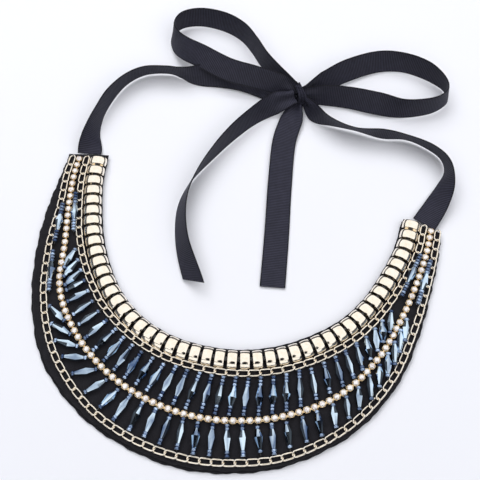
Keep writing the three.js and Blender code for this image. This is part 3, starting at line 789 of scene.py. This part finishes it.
# ------------------------------------------------------------------ tubes
@dataclass(frozen=True)
class TubeRow:
    """Half-round tubes side by side along the neck, strung on a waxed cord."""

    count: int = 47
    length: float = 4.25
    half_width: float = 4.2
    height: float = 3.35
    crown: float = 0.2
    roundness: float = 2.5
    wall: float = 0.5
    bevel: float = 0.16
    cord_height: float = 1.4
    cord_radius: float = 1.05

    def profile(self) -> np.ndarray:
        """Half-round outline of a tube seen from its end, across and up.

        The arch is where the across and up shares, each to the power of roundness, add to
        one; the foot is flat with the corners drawn in.

        Returns:
            Corners in order, two a row.
        """
        turn = np.radians(np.linspace(8, 172, 23))
        power = 2 / self.roundness
        across = self.half_width * np.sign(np.cos(turn)) * np.abs(np.cos(turn)) ** power
        up = self.height * np.abs(np.sin(turn)) ** power
        foot = np.array([[-3.5, 0.0], [-1.4, 0.12], [1.4, 0.12], [3.5, 0.0]])
        arch = np.stack([across, np.maximum(up, 0.5)], -1)
        return np.vstack([arch, foot])

    def tube(self) -> np.ndarray:
        """One tube as looped rings: the outside with rounded rims, then the inside wall.

        The outside swells between its rims by the crown, as a parabola.

        Returns:
            Rings by corners by three, in along, across and up.
        """
        end = self.length / 2
        inner = end - self.bevel
        barrel = inner * np.linspace(-1, 1, 7)
        rim = np.array([[inner + self.bevel * 0.65, self.bevel * 0.35], [end, self.bevel * 1.2]])
        stations = np.vstack([
            rim[::-1] * [-1, 1],
            np.stack([barrel, -self.crown * (1 - (barrel / inner) ** 2)], -1),
            rim,
            [[end - 0.05, self.wall], [-end + 0.05, self.wall]],
        ])
        profile = self.profile()
        middle = np.array([0.0, self.height * 0.45])
        reach = np.array([self.half_width, self.height * 0.55])
        share = 1 - stations[:, 1, None, None] / reach
        ring = middle + (profile - middle)[None] * share
        along = np.broadcast_to(stations[:, 0, None, None], (*ring.shape[:2], 1))
        return np.concatenate([along, ring], axis=-1)

    def build(self, bib: Bib) -> None:
        """Make the three runs of tubes and the cord through them."""
        line = bib.line("tubes", BED)
        middles, pitch = bib.evenly(line, count=self.count)
        third = round(self.count / 3)
        gold = Gilt("gilt_tube").material()
        runs = {"left": (0, third), "centre": (third, 2 * third), "right": (2 * third, self.count)}
        for side, (first, end) in runs.items():
            along = middles[first:end]
            axes = frame_axes(line.direction(along, self.length / 2))
            rings = placed(self.tube()[None], line.at(along), axes)
            piece = Piece(f"tube_beads_{side}", "gilt_metal", (f"tube_run_{side}",), crease=35)
            piece.make(sweep(rings, looped=True), gold)
        self.build_cord(line, middles[0], middles[-1])

    def build_cord(self, line: Line, start: float, end: float) -> None:
        """Make the cord: a round section with three twisted lobes along the row."""
        along = np.arange(start, end, 0.35)
        turn = np.linspace(0, 2 * np.pi, 13)[:-1]
        radius = self.cord_radius * (1 + 0.12 * np.cos(3 * turn[None] + along[:, None] * 1.9))
        axes = frame_axes(line.direction(along))
        centre = line.at(along) + np.array([0, 0, self.cord_height])
        across = radius[..., None] * np.cos(turn)[None, :, None] * axes[:, None, 1]
        up = radius[..., None] * np.sin(turn)[None, :, None] * axes[:, None, 2]
        piece = Piece("tube_cord", "felt", ("tube_run_left", "tube_run_centre", "tube_run_right"))
        piece.make(sweep((centre[:, None] + across + up)[None], looped=False),
                   WaxedCord("waxed_cord", 0.28).material())


# ------------------------------------------------------------------ chains
@dataclass(frozen=True)
class LinkChain:
    """Oblong links of round wire, each twisted so that its long sides lie flat."""

    node: str
    column: str
    pitch: float = 5.0
    width: float = 3.4
    wire: float = 0.8
    twist: float = 40.0
    lift: float = 0.95
    wire_sides: int = 8
    sway: float = 1.6

    def link(self, pitch: float) -> np.ndarray:
        """One link as looped rings of wire.

        The middle of the wire follows two straight sides and two half rounds. Each point is
        turned about the link's length by the twist times the cube of its share of the half
        length, so the two ends cross their neighbours and the sides stay level.

        Args:
            pitch: Length from link to link.

        Returns:
            Rings by corners by three, in along, across and up.
        """
        radius = (self.width - self.wire) / 2
        half = (pitch + self.wire) / 2
        straight = half - radius
        bend = np.radians(np.linspace(-90, 90, 8))
        sides = np.linspace(straight, -straight, 4)[1:-1]
        x = np.concatenate([straight + radius * np.cos(bend), sides,
                            -straight - radius * np.cos(bend), -sides])
        y = np.concatenate([radius * np.sin(bend), np.full(2, radius),
                            -radius * np.sin(bend), np.full(2, -radius)])
        turn = np.radians(self.twist) * (x / half) ** 3
        middle = np.stack([x, y * np.cos(turn), y * np.sin(turn)], -1)
        ahead = unit(np.roll(middle, -1, axis=0) - np.roll(middle, 1, axis=0))
        flat = unit(np.cross(ahead, np.array([0.0, 0.0, 1.0])))
        upright = np.cross(flat, ahead)
        corner = np.linspace(0, 2 * np.pi, self.wire_sides + 1)[:-1]
        out = np.cos(corner)[None, :, None] * flat[:, None] + np.sin(corner)[None, :, None] * upright[:, None]
        return middle[:, None] + out * self.wire / 2

    def build(self, bib: Bib, gold: bpy.types.Material) -> None:
        """Make the chain, with every link set along its row."""
        line = bib.line(self.column, BED + self.lift)
        along, pitch = bib.evenly(line, self.pitch)
        rng = np.random.default_rng(len(along))
        sway = np.radians(rng.normal(0, self.sway, len(along)))[:, None]
        axes = frame_axes(line.direction(along, pitch / 2))
        axes[:, 0], axes[:, 1] = (axes[:, 0] * np.cos(sway) + axes[:, 1] * np.sin(sway),
                                  axes[:, 1] * np.cos(sway) - axes[:, 0] * np.sin(sway))
        rings = placed(self.link(pitch)[None], line.at(along), axes)
        piece = Piece(f"{self.column}_chain_links", "gilt_metal", (self.node,), crease=80)
        piece.make(sweep(rings, looped=True), gold)


# ------------------------------------------------------------------ cup chain
@dataclass(frozen=True)
class CupChain:
    """Cut stones in square gilt cups with four claws, joined by short links."""

    pitch: float = 3.6
    half: float = 1.42
    depth: float = 1.55
    stone_radius: float = 1.38
    claw: float = 0.2

    def cup(self) -> np.ndarray:
        """Cup: a rounded square carried up the outside, over the rim and down the inside.

        Returns:
            Rings by corners by three.
        """
        levels = np.array([
            [0.0, 0.72], [0.12, 0.86], [0.9, 1.0], [self.depth, 1.02], [self.depth, 0.9], [0.8, 0.84],
        ])
        turn = np.linspace(0, 2 * np.pi, 17)[:-1]
        square = np.stack([np.cos(turn), np.sin(turn)], -1)
        square = np.sign(square) * np.abs(square) ** 0.6 * self.half
        flat = square[None] * levels[:, 1, None, None]
        up = np.broadcast_to(levels[:, 0, None, None], (*flat.shape[:2], 1))
        return np.concatenate([flat, up], -1)

    def claws(self) -> np.ndarray:
        """Four claws: small tapering prongs at the corners that bend in over the stone.

        Returns:
            Claws by rings by corners by three.
        """
        heights = np.array([0.9, 1.6, 2.1, 2.28])
        reach = np.array([1.3, 1.32, 1.2, 0.98]) * self.half / np.sqrt(2) * 1.08
        size = np.array([1.0, 1.0, 0.85, 0.5]) * self.claw
        turn = np.linspace(0, 2 * np.pi, 6)[:-1]
        corner = np.radians([45, 135, 225, 315])
        middle = np.stack([
            reach[None] * np.cos(corner)[:, None], reach[None] * np.sin(corner)[:, None],
            np.broadcast_to(heights, (4, 4)),
        ], -1)
        round_ = np.stack([np.cos(turn), np.sin(turn), 0 * turn], -1)
        return middle[:, :, None] + round_[None, None] * size[None, :, None, None]

    def stone(self) -> np.ndarray:
        """Stone: eight-sided rings from point to girdle, crown and table, every other one turned.

        Returns:
            Rings by corners by three.
        """
        levels = np.array([[0.75, 0.1, 0.0], [1.62, 1.0, 0.0], [1.74, 1.0, 0.0],
                           [2.08, 0.8, 0.5], [2.26, 0.5, 0.0]])
        turn = (np.arange(8)[None] + levels[:, 2, None]) * np.pi / 4
        radius = levels[:, 1, None] * self.stone_radius
        up = np.broadcast_to(levels[:, 0, None], turn.shape)
        return np.stack([radius * np.cos(turn), radius * np.sin(turn), up], -1)

    def build(self, bib: Bib, gold: bpy.types.Material) -> None:
        """Make the settings with their joining links, and the stones in them."""
        line = bib.line("stones", BED)
        along, pitch = bib.evenly(line, self.pitch)
        origins = line.at(along)
        axes = frame_axes(line.direction(along, pitch / 2))
        claws = [sweep(placed(claw[None], origins, axes), looped=False) for claw in self.claws()]
        cups = sweep(placed(self.cup()[None], origins, axes), looped=False)
        settings = join([cups, *claws, self.bars(line, along)])
        Piece("stone_cups", "gilt_metal", ("stone_chain",), crease=50).make(settings, gold)
        rng = np.random.default_rng(7)
        roll = rng.uniform(0, np.pi / 4, len(along))
        turned = np.stack([
            axes[:, 0] * np.cos(roll)[:, None] + axes[:, 1] * np.sin(roll)[:, None],
            axes[:, 1] * np.cos(roll)[:, None] - axes[:, 0] * np.sin(roll)[:, None], axes[:, 2],
        ], axis=1)
        stones = sweep(placed(self.stone()[None], origins, turned), looped=False)
        Piece("cut_stones", "cut_stone", ("stone_chain",), smooth=False).make(stones, CutStone().material())

    def bars(self, line: Line, cups: np.ndarray) -> Shell:
        """Flat bar that runs under the stones and shows as a link between each two cups."""
        along = np.arange(cups[0], cups[-1], 0.9)
        turn = np.linspace(0, 2 * np.pi, 9)[:-1]
        axes = frame_axes(line.direction(along))
        centre = line.at(along) + np.array([0, 0, 0.7])
        across = 0.6 * np.cos(turn)[None, :, None] * axes[:, None, 1]
        up = 0.32 * np.sin(turn)[None, :, None] * axes[:, None, 2]
        return sweep((centre[:, None] + across + up)[None], looped=False)


# ------------------------------------------------------------------ strung beads
@dataclass(frozen=True)
class BeadRow:
    """Spokes of one bicone between seed beads, and strings laid lengthwise at the ends."""

    name: str
    near: str
    far: str
    leans: tuple[Lean, ...]
    spokes: tuple[float, float, int]
    left_strings: tuple[tuple[float, float], ...]
    right_strings: tuple[tuple[float, float], ...]
    share: float
    seed: int
    beside_chain: float = 2.05
    beside_cups: float = 1.7
    axis_height: float = 1.75
    string_lift: float = 0.5
    bicone_length: float = 8.6
    belly: float = 0.0
    bicone_radius: float = 1.92
    neck_radius: float = 0.85
    seed_pitch: float = 1.58
    seed_radius: float = 1.25
    sway: float = 0.22
    painted_facet_glint: float = 0.45

    def legs(self, bib: Bib) -> dict[str, tuple[np.ndarray, np.ndarray]]:
        """Both ends of every spoke and string, by run.

        Args:
            bib: The lay-out.

        Returns:
            Starts and ends, one a row, under left, centre and right.
        """
        start_place, last_place, count = self.spokes
        places = np.linspace(start_place, last_place, count)
        table = np.array(self.leans)
        ahead = places + np.interp(places, table[:, 0], table[:, 1])
        height = BED + self.axis_height
        from_near = self.beside_cups if self.near == "stones" else self.beside_chain
        from_far = self.beside_cups if self.far == "stones" else self.beside_chain
        start = bib.spot(self.near, places, height) + bib.outward(self.near, places) * from_near
        end = bib.spot(self.far, ahead, height) - bib.outward(self.far, ahead) * from_far
        rng = np.random.default_rng(self.seed + count)
        start = start + rng.normal(0, self.sway, (count, 3)) * [1, 1, 0]
        end = end + rng.normal(0, self.sway, (count, 3)) * [1, 1, 0]
        per_run = round((count + len(self.left_strings) + len(self.right_strings)) / 3)
        first = per_run - len(self.left_strings)
        last = first + per_run
        runs = {"left": slice(0, first), "centre": slice(first, last), "right": slice(last, count)}
        result = {side: (start[part], end[part]) for side, part in runs.items()}
        for side, strings in (("left", self.left_strings), ("right", self.right_strings)):
            ends = np.array(strings)
            lifted = height + self.string_lift
            near = bib.spot(self.near, ends.ravel(), lifted)
            far = bib.spot(self.far, ends.ravel(), lifted)
            between = (near + (far - near) * self.share).reshape(-1, 2, 3)
            result[side] = (np.vstack([result[side][0], between[:, 0]]),
                            np.vstack([result[side][1], between[:, 1]]))
        return result

    def bicone(self) -> np.ndarray:
        """Bicone: two eight-sided cones base to base, pierced along their axis.

        The belly says how far past the middle they meet, as a share of the length.

        Returns:
            Looped rings by corners by three, at unit length and radius scale.
        """
        stations = np.array([[-0.5, self.neck_radius], [self.belly, self.bicone_radius],
                             [0.5, self.neck_radius],
                             [0.49, 0.3], [-0.49, 0.3]])
        turn = np.arange(8) * np.pi / 4
        along = np.broadcast_to(stations[:, 0, None], (5, 8))
        radius = stations[:, 1, None]
        return np.stack([along, radius * np.cos(turn), radius * np.sin(turn)], -1)

    def seed_bead(self, length: float) -> np.ndarray:
        """Seed bead: an oval section carried round a hole.

        Args:
            length: Length along the thread.

        Returns:
            Looped rings by corners by three.
        """
        hole = 0.42
        middle = (self.seed_radius + hole) / 2
        section = np.linspace(0, 2 * np.pi, 10)[:-1]
        turn = np.linspace(0, 2 * np.pi, 13)[:-1]
        bulge = np.cos(section)
        along = length / 2 * np.sin(section)
        radius = middle + (self.seed_radius - hole) / 2 * bulge
        shape = (len(section), len(turn))
        return np.stack([
            np.broadcast_to(along[:, None], shape),
            radius[:, None] * np.cos(turn), radius[:, None] * np.sin(turn),
        ], -1)

    def build(self, bib: Bib, finishes: dict[str, bpy.types.Material]) -> None:
        """Make the bicones, seed beads and thread of each run."""
        rng = np.random.default_rng(self.seed)
        for side, (start, end) in self.legs(bib).items():
            node = f"bead_row_{self.name}_{side}"
            self.build_run(f"{self.name}_{side}", node, start, end, rng, finishes)

    def build_run(self, label: str, node: str, start: np.ndarray, end: np.ndarray,
                  rng: np.random.Generator, finishes: dict[str, bpy.types.Material]) -> None:
        """Make one run.

        A leg holds a bicone in its middle, and as many seeds as fit on either side of it.

        Args:
            label: Words that its pieces' names end with.
            node: The frame's node for it.
            start: Where each leg starts.
            end: Where each leg ends.
            rng: The seeded draw of rolls and shades.
            finishes: Materials by name.
        """
        length = np.linalg.norm(end - start, axis=1)
        axes = frame_axes(unit(end - start))
        middle = (start + end) / 2
        bicone = np.minimum(self.bicone_length, length - 2 * self.seed_pitch)
        axes_rolled = self.rolled(axes, rng.uniform(0, np.pi / 4, len(length)))
        stretched = axes_rolled.copy()
        stretched[:, 0] *= bicone[:, None]
        cones = placed(self.bicone()[None], middle, stretched)
        # Painted reflections: each bicone facet is made lighter or darker at random, standing in for what
        # each facet mirrors.
        facets = rng.uniform(-self.painted_facet_glint, self.painted_facet_glint, (len(length), cones.shape[1] * cones.shape[2]))
        shades = np.clip(rng.uniform(0.4, 0.82, len(length))[:, None] + facets, 0, 1)
        piece = Piece(f"bicones_{label}", "steel_bead", (node,), smooth=False)
        piece.make(sweep(cones, looped=True), finishes["bicone"], shades.ravel())
        each = np.maximum(1, np.round((length - bicone) / 2 / self.seed_pitch).astype(int))
        leg = np.repeat(np.arange(len(length)), 2 * each)
        place = np.concatenate([self.seed_places(n, long, cone)
                                for n, long, cone in zip(each, length, bicone)])
        centres = middle[leg] + axes[leg, 0] * place[:, None]
        seeds = placed(self.seed_bead(self.seed_pitch * 0.88)[None], centres,
                       self.rolled(axes[leg], rng.uniform(0, np.pi, len(leg))))
        tones = rng.uniform(0.0, 0.9, len(leg))
        piece = Piece(f"seed_beads_{label}", "steel_bead", (node,), crease=70)
        piece.make(sweep(seeds, looped=True), finishes["seed"],
                   np.repeat(tones, seeds.shape[1] * seeds.shape[2]))
        self.build_thread(label, node, start, end, axes, finishes["thread"])

    def seed_places(self, count: int, length: float, bicone: float) -> np.ndarray:
        """Places of the seeds about the middle of a leg, evenly from the bicone to each end."""
        room = (length - bicone) / 2
        step = min(self.seed_pitch, room / count)
        outwards = bicone / 2 + step * (np.arange(count) + 0.5)
        return np.concatenate([-outwards[::-1], outwards])

    def rolled(self, axes: np.ndarray, turn: np.ndarray) -> np.ndarray:
        """Axes rolled about their first row."""
        cos, sin = np.cos(turn)[:, None], np.sin(turn)[:, None]
        across = axes[:, 1] * cos + axes[:, 2] * sin
        up = axes[:, 2] * cos - axes[:, 1] * sin
        return np.stack([axes[:, 0], across, up], axis=1)

    def build_thread(self, label: str, node: str, start: np.ndarray, end: np.ndarray,
                     axes: np.ndarray, material: bpy.types.Material) -> None:
        """Make the thread of each leg: through its beads, and down into the felt past them."""
        share = np.array([0.0, 0.0, 0.5, 1.0, 1.0])
        past = np.array([-0.75, -0.35, 0.0, 0.35, 0.75])
        drop = np.array([-2.1, -0.2, 0.0, -0.2, -2.1])
        middle = start[:, None] + (end - start)[:, None] * share[None, :, None]
        middle = middle + axes[:, None, 0] * past[None, :, None] + axes[:, None, 2] * drop[None, :, None]
        turn = np.linspace(0, 2 * np.pi, 7)[:-1]
        ring = np.cos(turn)[:, None] * axes[:, None, 1] + np.sin(turn)[:, None] * axes[:, None, 2]
        rings = middle[:, :, None] + 0.22 * ring[:, None]
        Piece(f"thread_{label}", "felt", (node,)).make(sweep(rings, looped=False), material)


# ------------------------------------------------------------------ ribbon
class Held(Enum):
    """How a stretch of ribbon is held."""

    TIED = "gathered"
    LYING = "laid"


@dataclass(frozen=True)
class Ribbon:
    """One stretch of grosgrain, turned about its middle line as its route says."""

    name: str
    node: str
    route: tuple[Stop, ...]
    held: Held
    full_width: float = 12.0
    thickness: float = 0.5
    rib: float = 0.88
    rib_height: float = 0.11
    samples: int = 5
    across: int = 16
    selvage: float = 0.7
    pleats: float = 1.5
    fullness: float = 1.12
    start_tuck: float = 0.0
    end_tuck: float = 0.0

    def build(self, cloth: bpy.types.Material) -> None:
        """Across the ribbon the middle surface is flat, or where it is gathered a wave whose
        height takes up the spare width. Along it, the two faces rise and fall by a cosine of
        one rib a wave, and both thin to a rounded edge.
        """
        stops = np.array(self.route)
        places = np.linspace(0, len(stops) - 1, 3001)
        middle = smooth_through(stops[:, :3], places) - MIDDLE
        line = Line(middle)
        start, end = -self.start_tuck, line.length + self.end_tuck
        along = np.linspace(start, end, round((end - start) / self.rib * self.samples) + 1)
        place = np.interp(along, line.measure, places)
        shape = smooth_through(stops[:, 3:], place)
        way = line.direction(along, 0.8)
        centre = line.at(along) + way * (along - np.clip(along, 0, line.length))[:, None]
        level = right_of(way)
        upright = np.cross(level, way)
        lean = np.radians(shape[:, 0])[:, None]
        over = level * np.cos(lean) + upright * np.sin(lean)
        face = np.cross(way, over)
        width = np.minimum(shape[:, 1] * self.fullness, self.full_width)
        side = np.sin(np.linspace(-np.pi / 2, np.pi / 2, self.across + 1))
        spare = np.sqrt(np.maximum(self.full_width / width - 1, 0))
        wave = width / (np.pi * self.pleats) * spare * 0.7
        fold = wave[:, None] * np.cos(2 * np.pi * self.pleats * side[None] / 2 + 0.6)
        body = centre[:, None] + over[:, None] * (side[None, :, None] * width[:, None, None] / 2)
        body = body + way[:, None] * (side[None, :, None] * shape[:, 2, None, None] / 2)
        body = body + face[:, None] * fold[..., None]
        crest = np.cos(2 * np.pi * along / self.rib)
        from_edge = (1 - np.abs(side)) * self.full_width / 2
        plain = np.clip(from_edge / self.selvage, 0, 1)
        relief = self.rib_height / 2 * crest[:, None] * plain[None]
        thin = self.thickness / 2 * np.sqrt(np.clip(from_edge / 0.25, 0, 1))[None] + relief
        top = body + face[:, None] * thin[..., None]
        under = body - face[:, None] * thin[..., None]
        rings = np.concatenate([top, under[:, -2:0:-1]], axis=1)
        # Painted rib light and shade: crests lighter as painted highlight, grooves darker as painted shade,
        # and darker towards the edges.
        shade = np.clip(plain[None] * (0.62 + 0.38 * crest[:, None]), 0, 1)
        shade = np.concatenate([shade, shade[:, -2:0:-1]], axis=1)
        lay = np.stack(np.broadcast_arrays(along[:, None], side[None] * self.full_width / 2), -1)
        lay = np.concatenate([lay, lay[:, -2:0:-1]], axis=1)
        shell = sweep(rings[None], looped=False, flat=lay[None])
        ends = shade[[0, -1]].mean(axis=1)
        piece = Piece(self.name, "ribbon", (self.node,), crease=80)
        made = piece.make(shell, cloth, np.concatenate([shade.ravel(), ends]))


@dataclass(frozen=True)
class BowKnot:
    """The band of ribbon wrapped round the middle of the bow, creased and pulled aslant."""

    middle: tuple[float, float, float] = (10.6, 87.0, 5.8)
    half_depth: float = 4.6
    half_height: float = 4.8
    half_width: float = 2.3
    roundness: float = 3.0
    thickness: float = 0.6
    slant: float = 0.62
    turns: int = 96
    across: int = 18

    def build(self, cloth: bpy.types.Material) -> None:
        """Make the band as a looped strip.

        Round the knot, the band follows a rounded oblong; across, it bulges in the middle and
        carries three creases that wander a little round the turn.
        """
        turn = np.linspace(0, 2 * np.pi, self.turns + 1)[:-1]
        power = 2 / self.roundness
        depth = np.sign(np.cos(turn)) * np.abs(np.cos(turn)) ** power
        rise = np.sign(np.sin(turn)) * np.abs(np.sin(turn)) ** power
        side = np.sin(np.linspace(-np.pi / 2, np.pi / 2, self.across + 1))
        crease = 0.42 * np.cos(3 * np.pi * side[None] + 0.7 * np.sin(turn[:, None]))
        bulge = 0.35 * (1 - side[None] ** 2)
        grow = crease + bulge
        half_width = self.half_width * (1 + 0.12 * np.cos(2 * turn))
        x = side[None] * half_width[:, None] - self.slant * depth[:, None] * self.half_depth
        rings = []
        for layer in (0.0, -self.thickness):
            y = depth[:, None] * (self.half_depth + grow + layer)
            z = rise[:, None] * (self.half_height + grow + layer)
            rings.append(np.stack([x, y, z], -1))
        outer, inner = rings
        loop = np.concatenate([outer, inner[:, ::-1]], axis=1) + np.array(self.middle) - MIDDLE
        around = turn[:, None] * (self.half_depth + self.half_height) / 2
        lay = np.stack(np.broadcast_arrays(around, side[None] * 6.0), -1)
        lay = np.concatenate([lay, lay[:, ::-1]], axis=1)
        # Painted rib light and shade round the band: crests lighter as painted highlight, grooves darker as
        # painted shade.
        ribs = 0.62 + 0.38 * np.cos(2 * np.pi * around / 0.88) * np.ones_like(side)[None]
        shade = np.concatenate([ribs, ribs], axis=1)
        shell = sweep(loop[None], looped=True, flat=lay[None])
        knot = Piece("knot_band", "ribbon", ("bow_knot",), crease=60).make(shell, cloth, shade.ravel())


# ------------------------------------------------------------------ studio
@dataclass(frozen=True)
class Panel:
    """A soft panel of light: its place and size in metres, its watts, and what it reaches."""

    name: str
    place: tuple[float, float, float]
    size: tuple[float, float]
    power: float
    in_reflections: bool = True
    on_surfaces: bool = True


PANELS = (
    Panel("key_panel", (-0.35, 0.55, 0.9), (0.9, 0.6), 5.2, in_reflections=False),
    Panel("fill_panel", (0.2, -0.2, 1.2), (2.4, 2.4), 27.5, in_reflections=False),
    Panel("bright_ceiling", (0.0, 0.25, 1.0), (3.2, 2.3), 22.5, on_surfaces=False),
    Panel("bright_front", (0.1, -1.15, 0.62), (2.4, 1.1), 8.0, on_surfaces=False),
)


@dataclass(frozen=True)
class Studio:
    """A pale table, soft panels of light and the camera."""

    elevation: float = 63.0
    azimuth: float = 13.5
    distance: float = 408.65
    aim: tuple[float, float, float] = (-0.1, -7.6, 0.0)
    lens: float = 63.75
    hood_radius: float = 112.0
    hood_back: float = 1.05

    def build(self) -> None:
        """Set up the camera, the table, the lights and the surroundings."""
        self.place_camera()
        self.place_table()
        for panel in PANELS:
            lamp = self.place_panel(panel.name, panel.place, panel.size, panel.power)
            lamp.visible_glossy = panel.in_reflections
            lamp.visible_diffuse = panel.on_surfaces
        self.place_hood()
        world = bpy.data.worlds.new("surroundings")
        world.use_nodes = True
        background = world.node_tree.nodes["Background"]
        background.inputs["Color"].default_value = (0.93, 0.95, 1.0, 1.0)
        background.inputs["Strength"].default_value = 0.09
        scene = bpy.context.scene
        scene.world = world
        scene.view_settings.view_transform = "Standard"

    def place_camera(self) -> None:
        """Place the camera on its bearing, looking at the necklace's middle."""
        across, height = math.radians(self.azimuth), math.radians(self.elevation)
        level = math.cos(height)
        away = Vector((math.sin(across) * level, -math.cos(across) * level, math.sin(height)))
        aim = Vector(self.aim) * MM
        data = bpy.data.cameras.new("camera")
        data.lens = self.lens
        data.sensor_width = 36.0
        camera = bpy.data.objects.new("camera", data)
        camera.location = aim + away * self.distance * MM
        camera.rotation_euler = (-away).to_track_quat("-Z", "Y").to_euler()
        bpy.context.scene.collection.objects.link(camera)
        bpy.context.scene.camera = camera

    def place_hood(self) -> None:
        """Place the dark round hood that stands just behind the camera's lens."""
        camera = bpy.context.scene.camera
        turn = np.linspace(0, 2 * np.pi, 49)[:-1]
        rim = np.stack([np.cos(turn), np.sin(turn), 0 * turn], -1) * self.hood_radius * MM
        mesh = bpy.data.meshes.new("lens_hood")
        mesh.from_pydata(rim.tolist(), [], [tuple(range(len(rim)))])
        recipe = Recipe("black_hood")
        recipe.set(Base_Color=(0.01, 0.01, 0.01, 1.0), Roughness=0.9)
        mesh.materials.append(recipe.material)
        hood = bpy.data.objects.new("lens_hood", mesh)
        hood.location = camera.location * self.hood_back
        hood.rotation_euler = camera.rotation_euler
        bpy.context.scene.collection.objects.link(hood)
        hood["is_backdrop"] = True

    def place_table(self) -> None:
        """Place a wide pale table top just under the necklace."""
        half = 2.5
        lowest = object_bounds()[0][2]
        mesh = bpy.data.meshes.new("table")
        corners = [(-half, -half, lowest), (half, -half, lowest), (half, half, lowest), (-half, half, lowest)]
        mesh.from_pydata(corners, [], [(0, 1, 2, 3)])
        recipe = Recipe("table_top")
        recipe.set(Base_Color=(0.85, 0.86, 0.92, 1.0), Roughness=0.7, Specular_IOR_Level=0.2)
        mesh.materials.append(recipe.material)
        table = bpy.data.objects.new("table", mesh)
        bpy.context.scene.collection.objects.link(table)
        table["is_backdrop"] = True

    def place_panel(self, name: str, place: tuple[float, float, float], size: tuple[float, float],
                    power: float) -> bpy.types.Object:
        """Hang one soft panel of light that faces the necklace.

        Args:
            name: The panel's name.
            place: Where it hangs, in metres.
            size: Its width and height, in metres.
            power: Its power in watts.

        Returns:
            The panel.
        """
        data = bpy.data.lights.new(name, "AREA")
        data.shape = "RECTANGLE"
        data.size, data.size_y = size
        data.energy = power
        panel = bpy.data.objects.new(name, data)
        panel.location = place
        panel.rotation_euler = (-Vector(place)).to_track_quat("-Z", "Y").to_euler()
        bpy.context.scene.collection.objects.link(panel)
        return panel


def plain(bounds: tuple) -> list[list[float]]:
    """A box as plain lists of numbers."""
    return [[float(value) for value in corner] for corner in bounds]


def main() -> None:
    """Load the frame and build every sub-assembly in order."""
    logging.basicConfig(level=logging.INFO, format="%(message)s")
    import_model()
    Studio().build()
    bib = Bib()
    FeltCrescent().build(bib)
    TubeRow().build(bib)
    chain_gold = Gilt("gilt_chain").material()
    LinkChain("chain_inner", "inner").build(bib, chain_gold)
    LinkChain("chain_outer", "outer").build(bib, chain_gold)
    CupChain().build(bib, Gilt("gilt_cup", pale=(0.96, 0.76, 0.48), deep=(0.78, 0.54, 0.28)).material())
    finishes = {
        "bicone": SteelBlue("steel_blue_bicone").material(),
        "seed": SteelBlue("steel_blue_seed", (0.05, 0.09, 0.20), (0.56, 0.72, 0.98)).material(),
        "thread": WaxedCord("bead_thread", 0.5).material(),
    }
    BeadRow("inner", "inner", "stones", INNER_LEAN, (3.2, 13.05, 34),
            ((1.55, 2.75),), ((13.5, 14.9),), 0.4, 11,
            belly=0.09).build(bib, finishes)
    BeadRow("outer", "stones", "outer", OUTER_LEAN, (4.75, 13.1, 30),
            ((1.9, 3.0), (3.15, 4.0)), ((13.5, 14.8),), 0.64,
            12, belly=-0.1).build(bib, finishes)
    cloth = Grosgrain().material()
    for ribbon in (
        Ribbon("left_tie_ribbon", "ribbon_left_tie", LEFT_TIE, Held.TIED, end_tuck=2.2),
        Ribbon("right_tie_ribbon", "ribbon_right_tie", RIGHT_TIE, Held.TIED, end_tuck=2.2),
        Ribbon("left_loop_ribbon", "bow_loop_left", LEFT_LOOP, Held.TIED, start_tuck=2.2, end_tuck=2.2),
        Ribbon("right_loop_ribbon", "bow_loop_right", RIGHT_LOOP, Held.TIED, start_tuck=2.2, end_tuck=2.2),
        Ribbon("left_tail_ribbon", "ribbon_left_tail", LEFT_TAIL, Held.TIED, start_tuck=2.2),
        Ribbon("right_tail_ribbon", "ribbon_right_tail", RIGHT_TAIL, Held.LYING, start_tuck=2.2),
    ):
        ribbon.build(cloth)
    BowKnot().build(cloth)


if __name__ == "__main__":
    main()
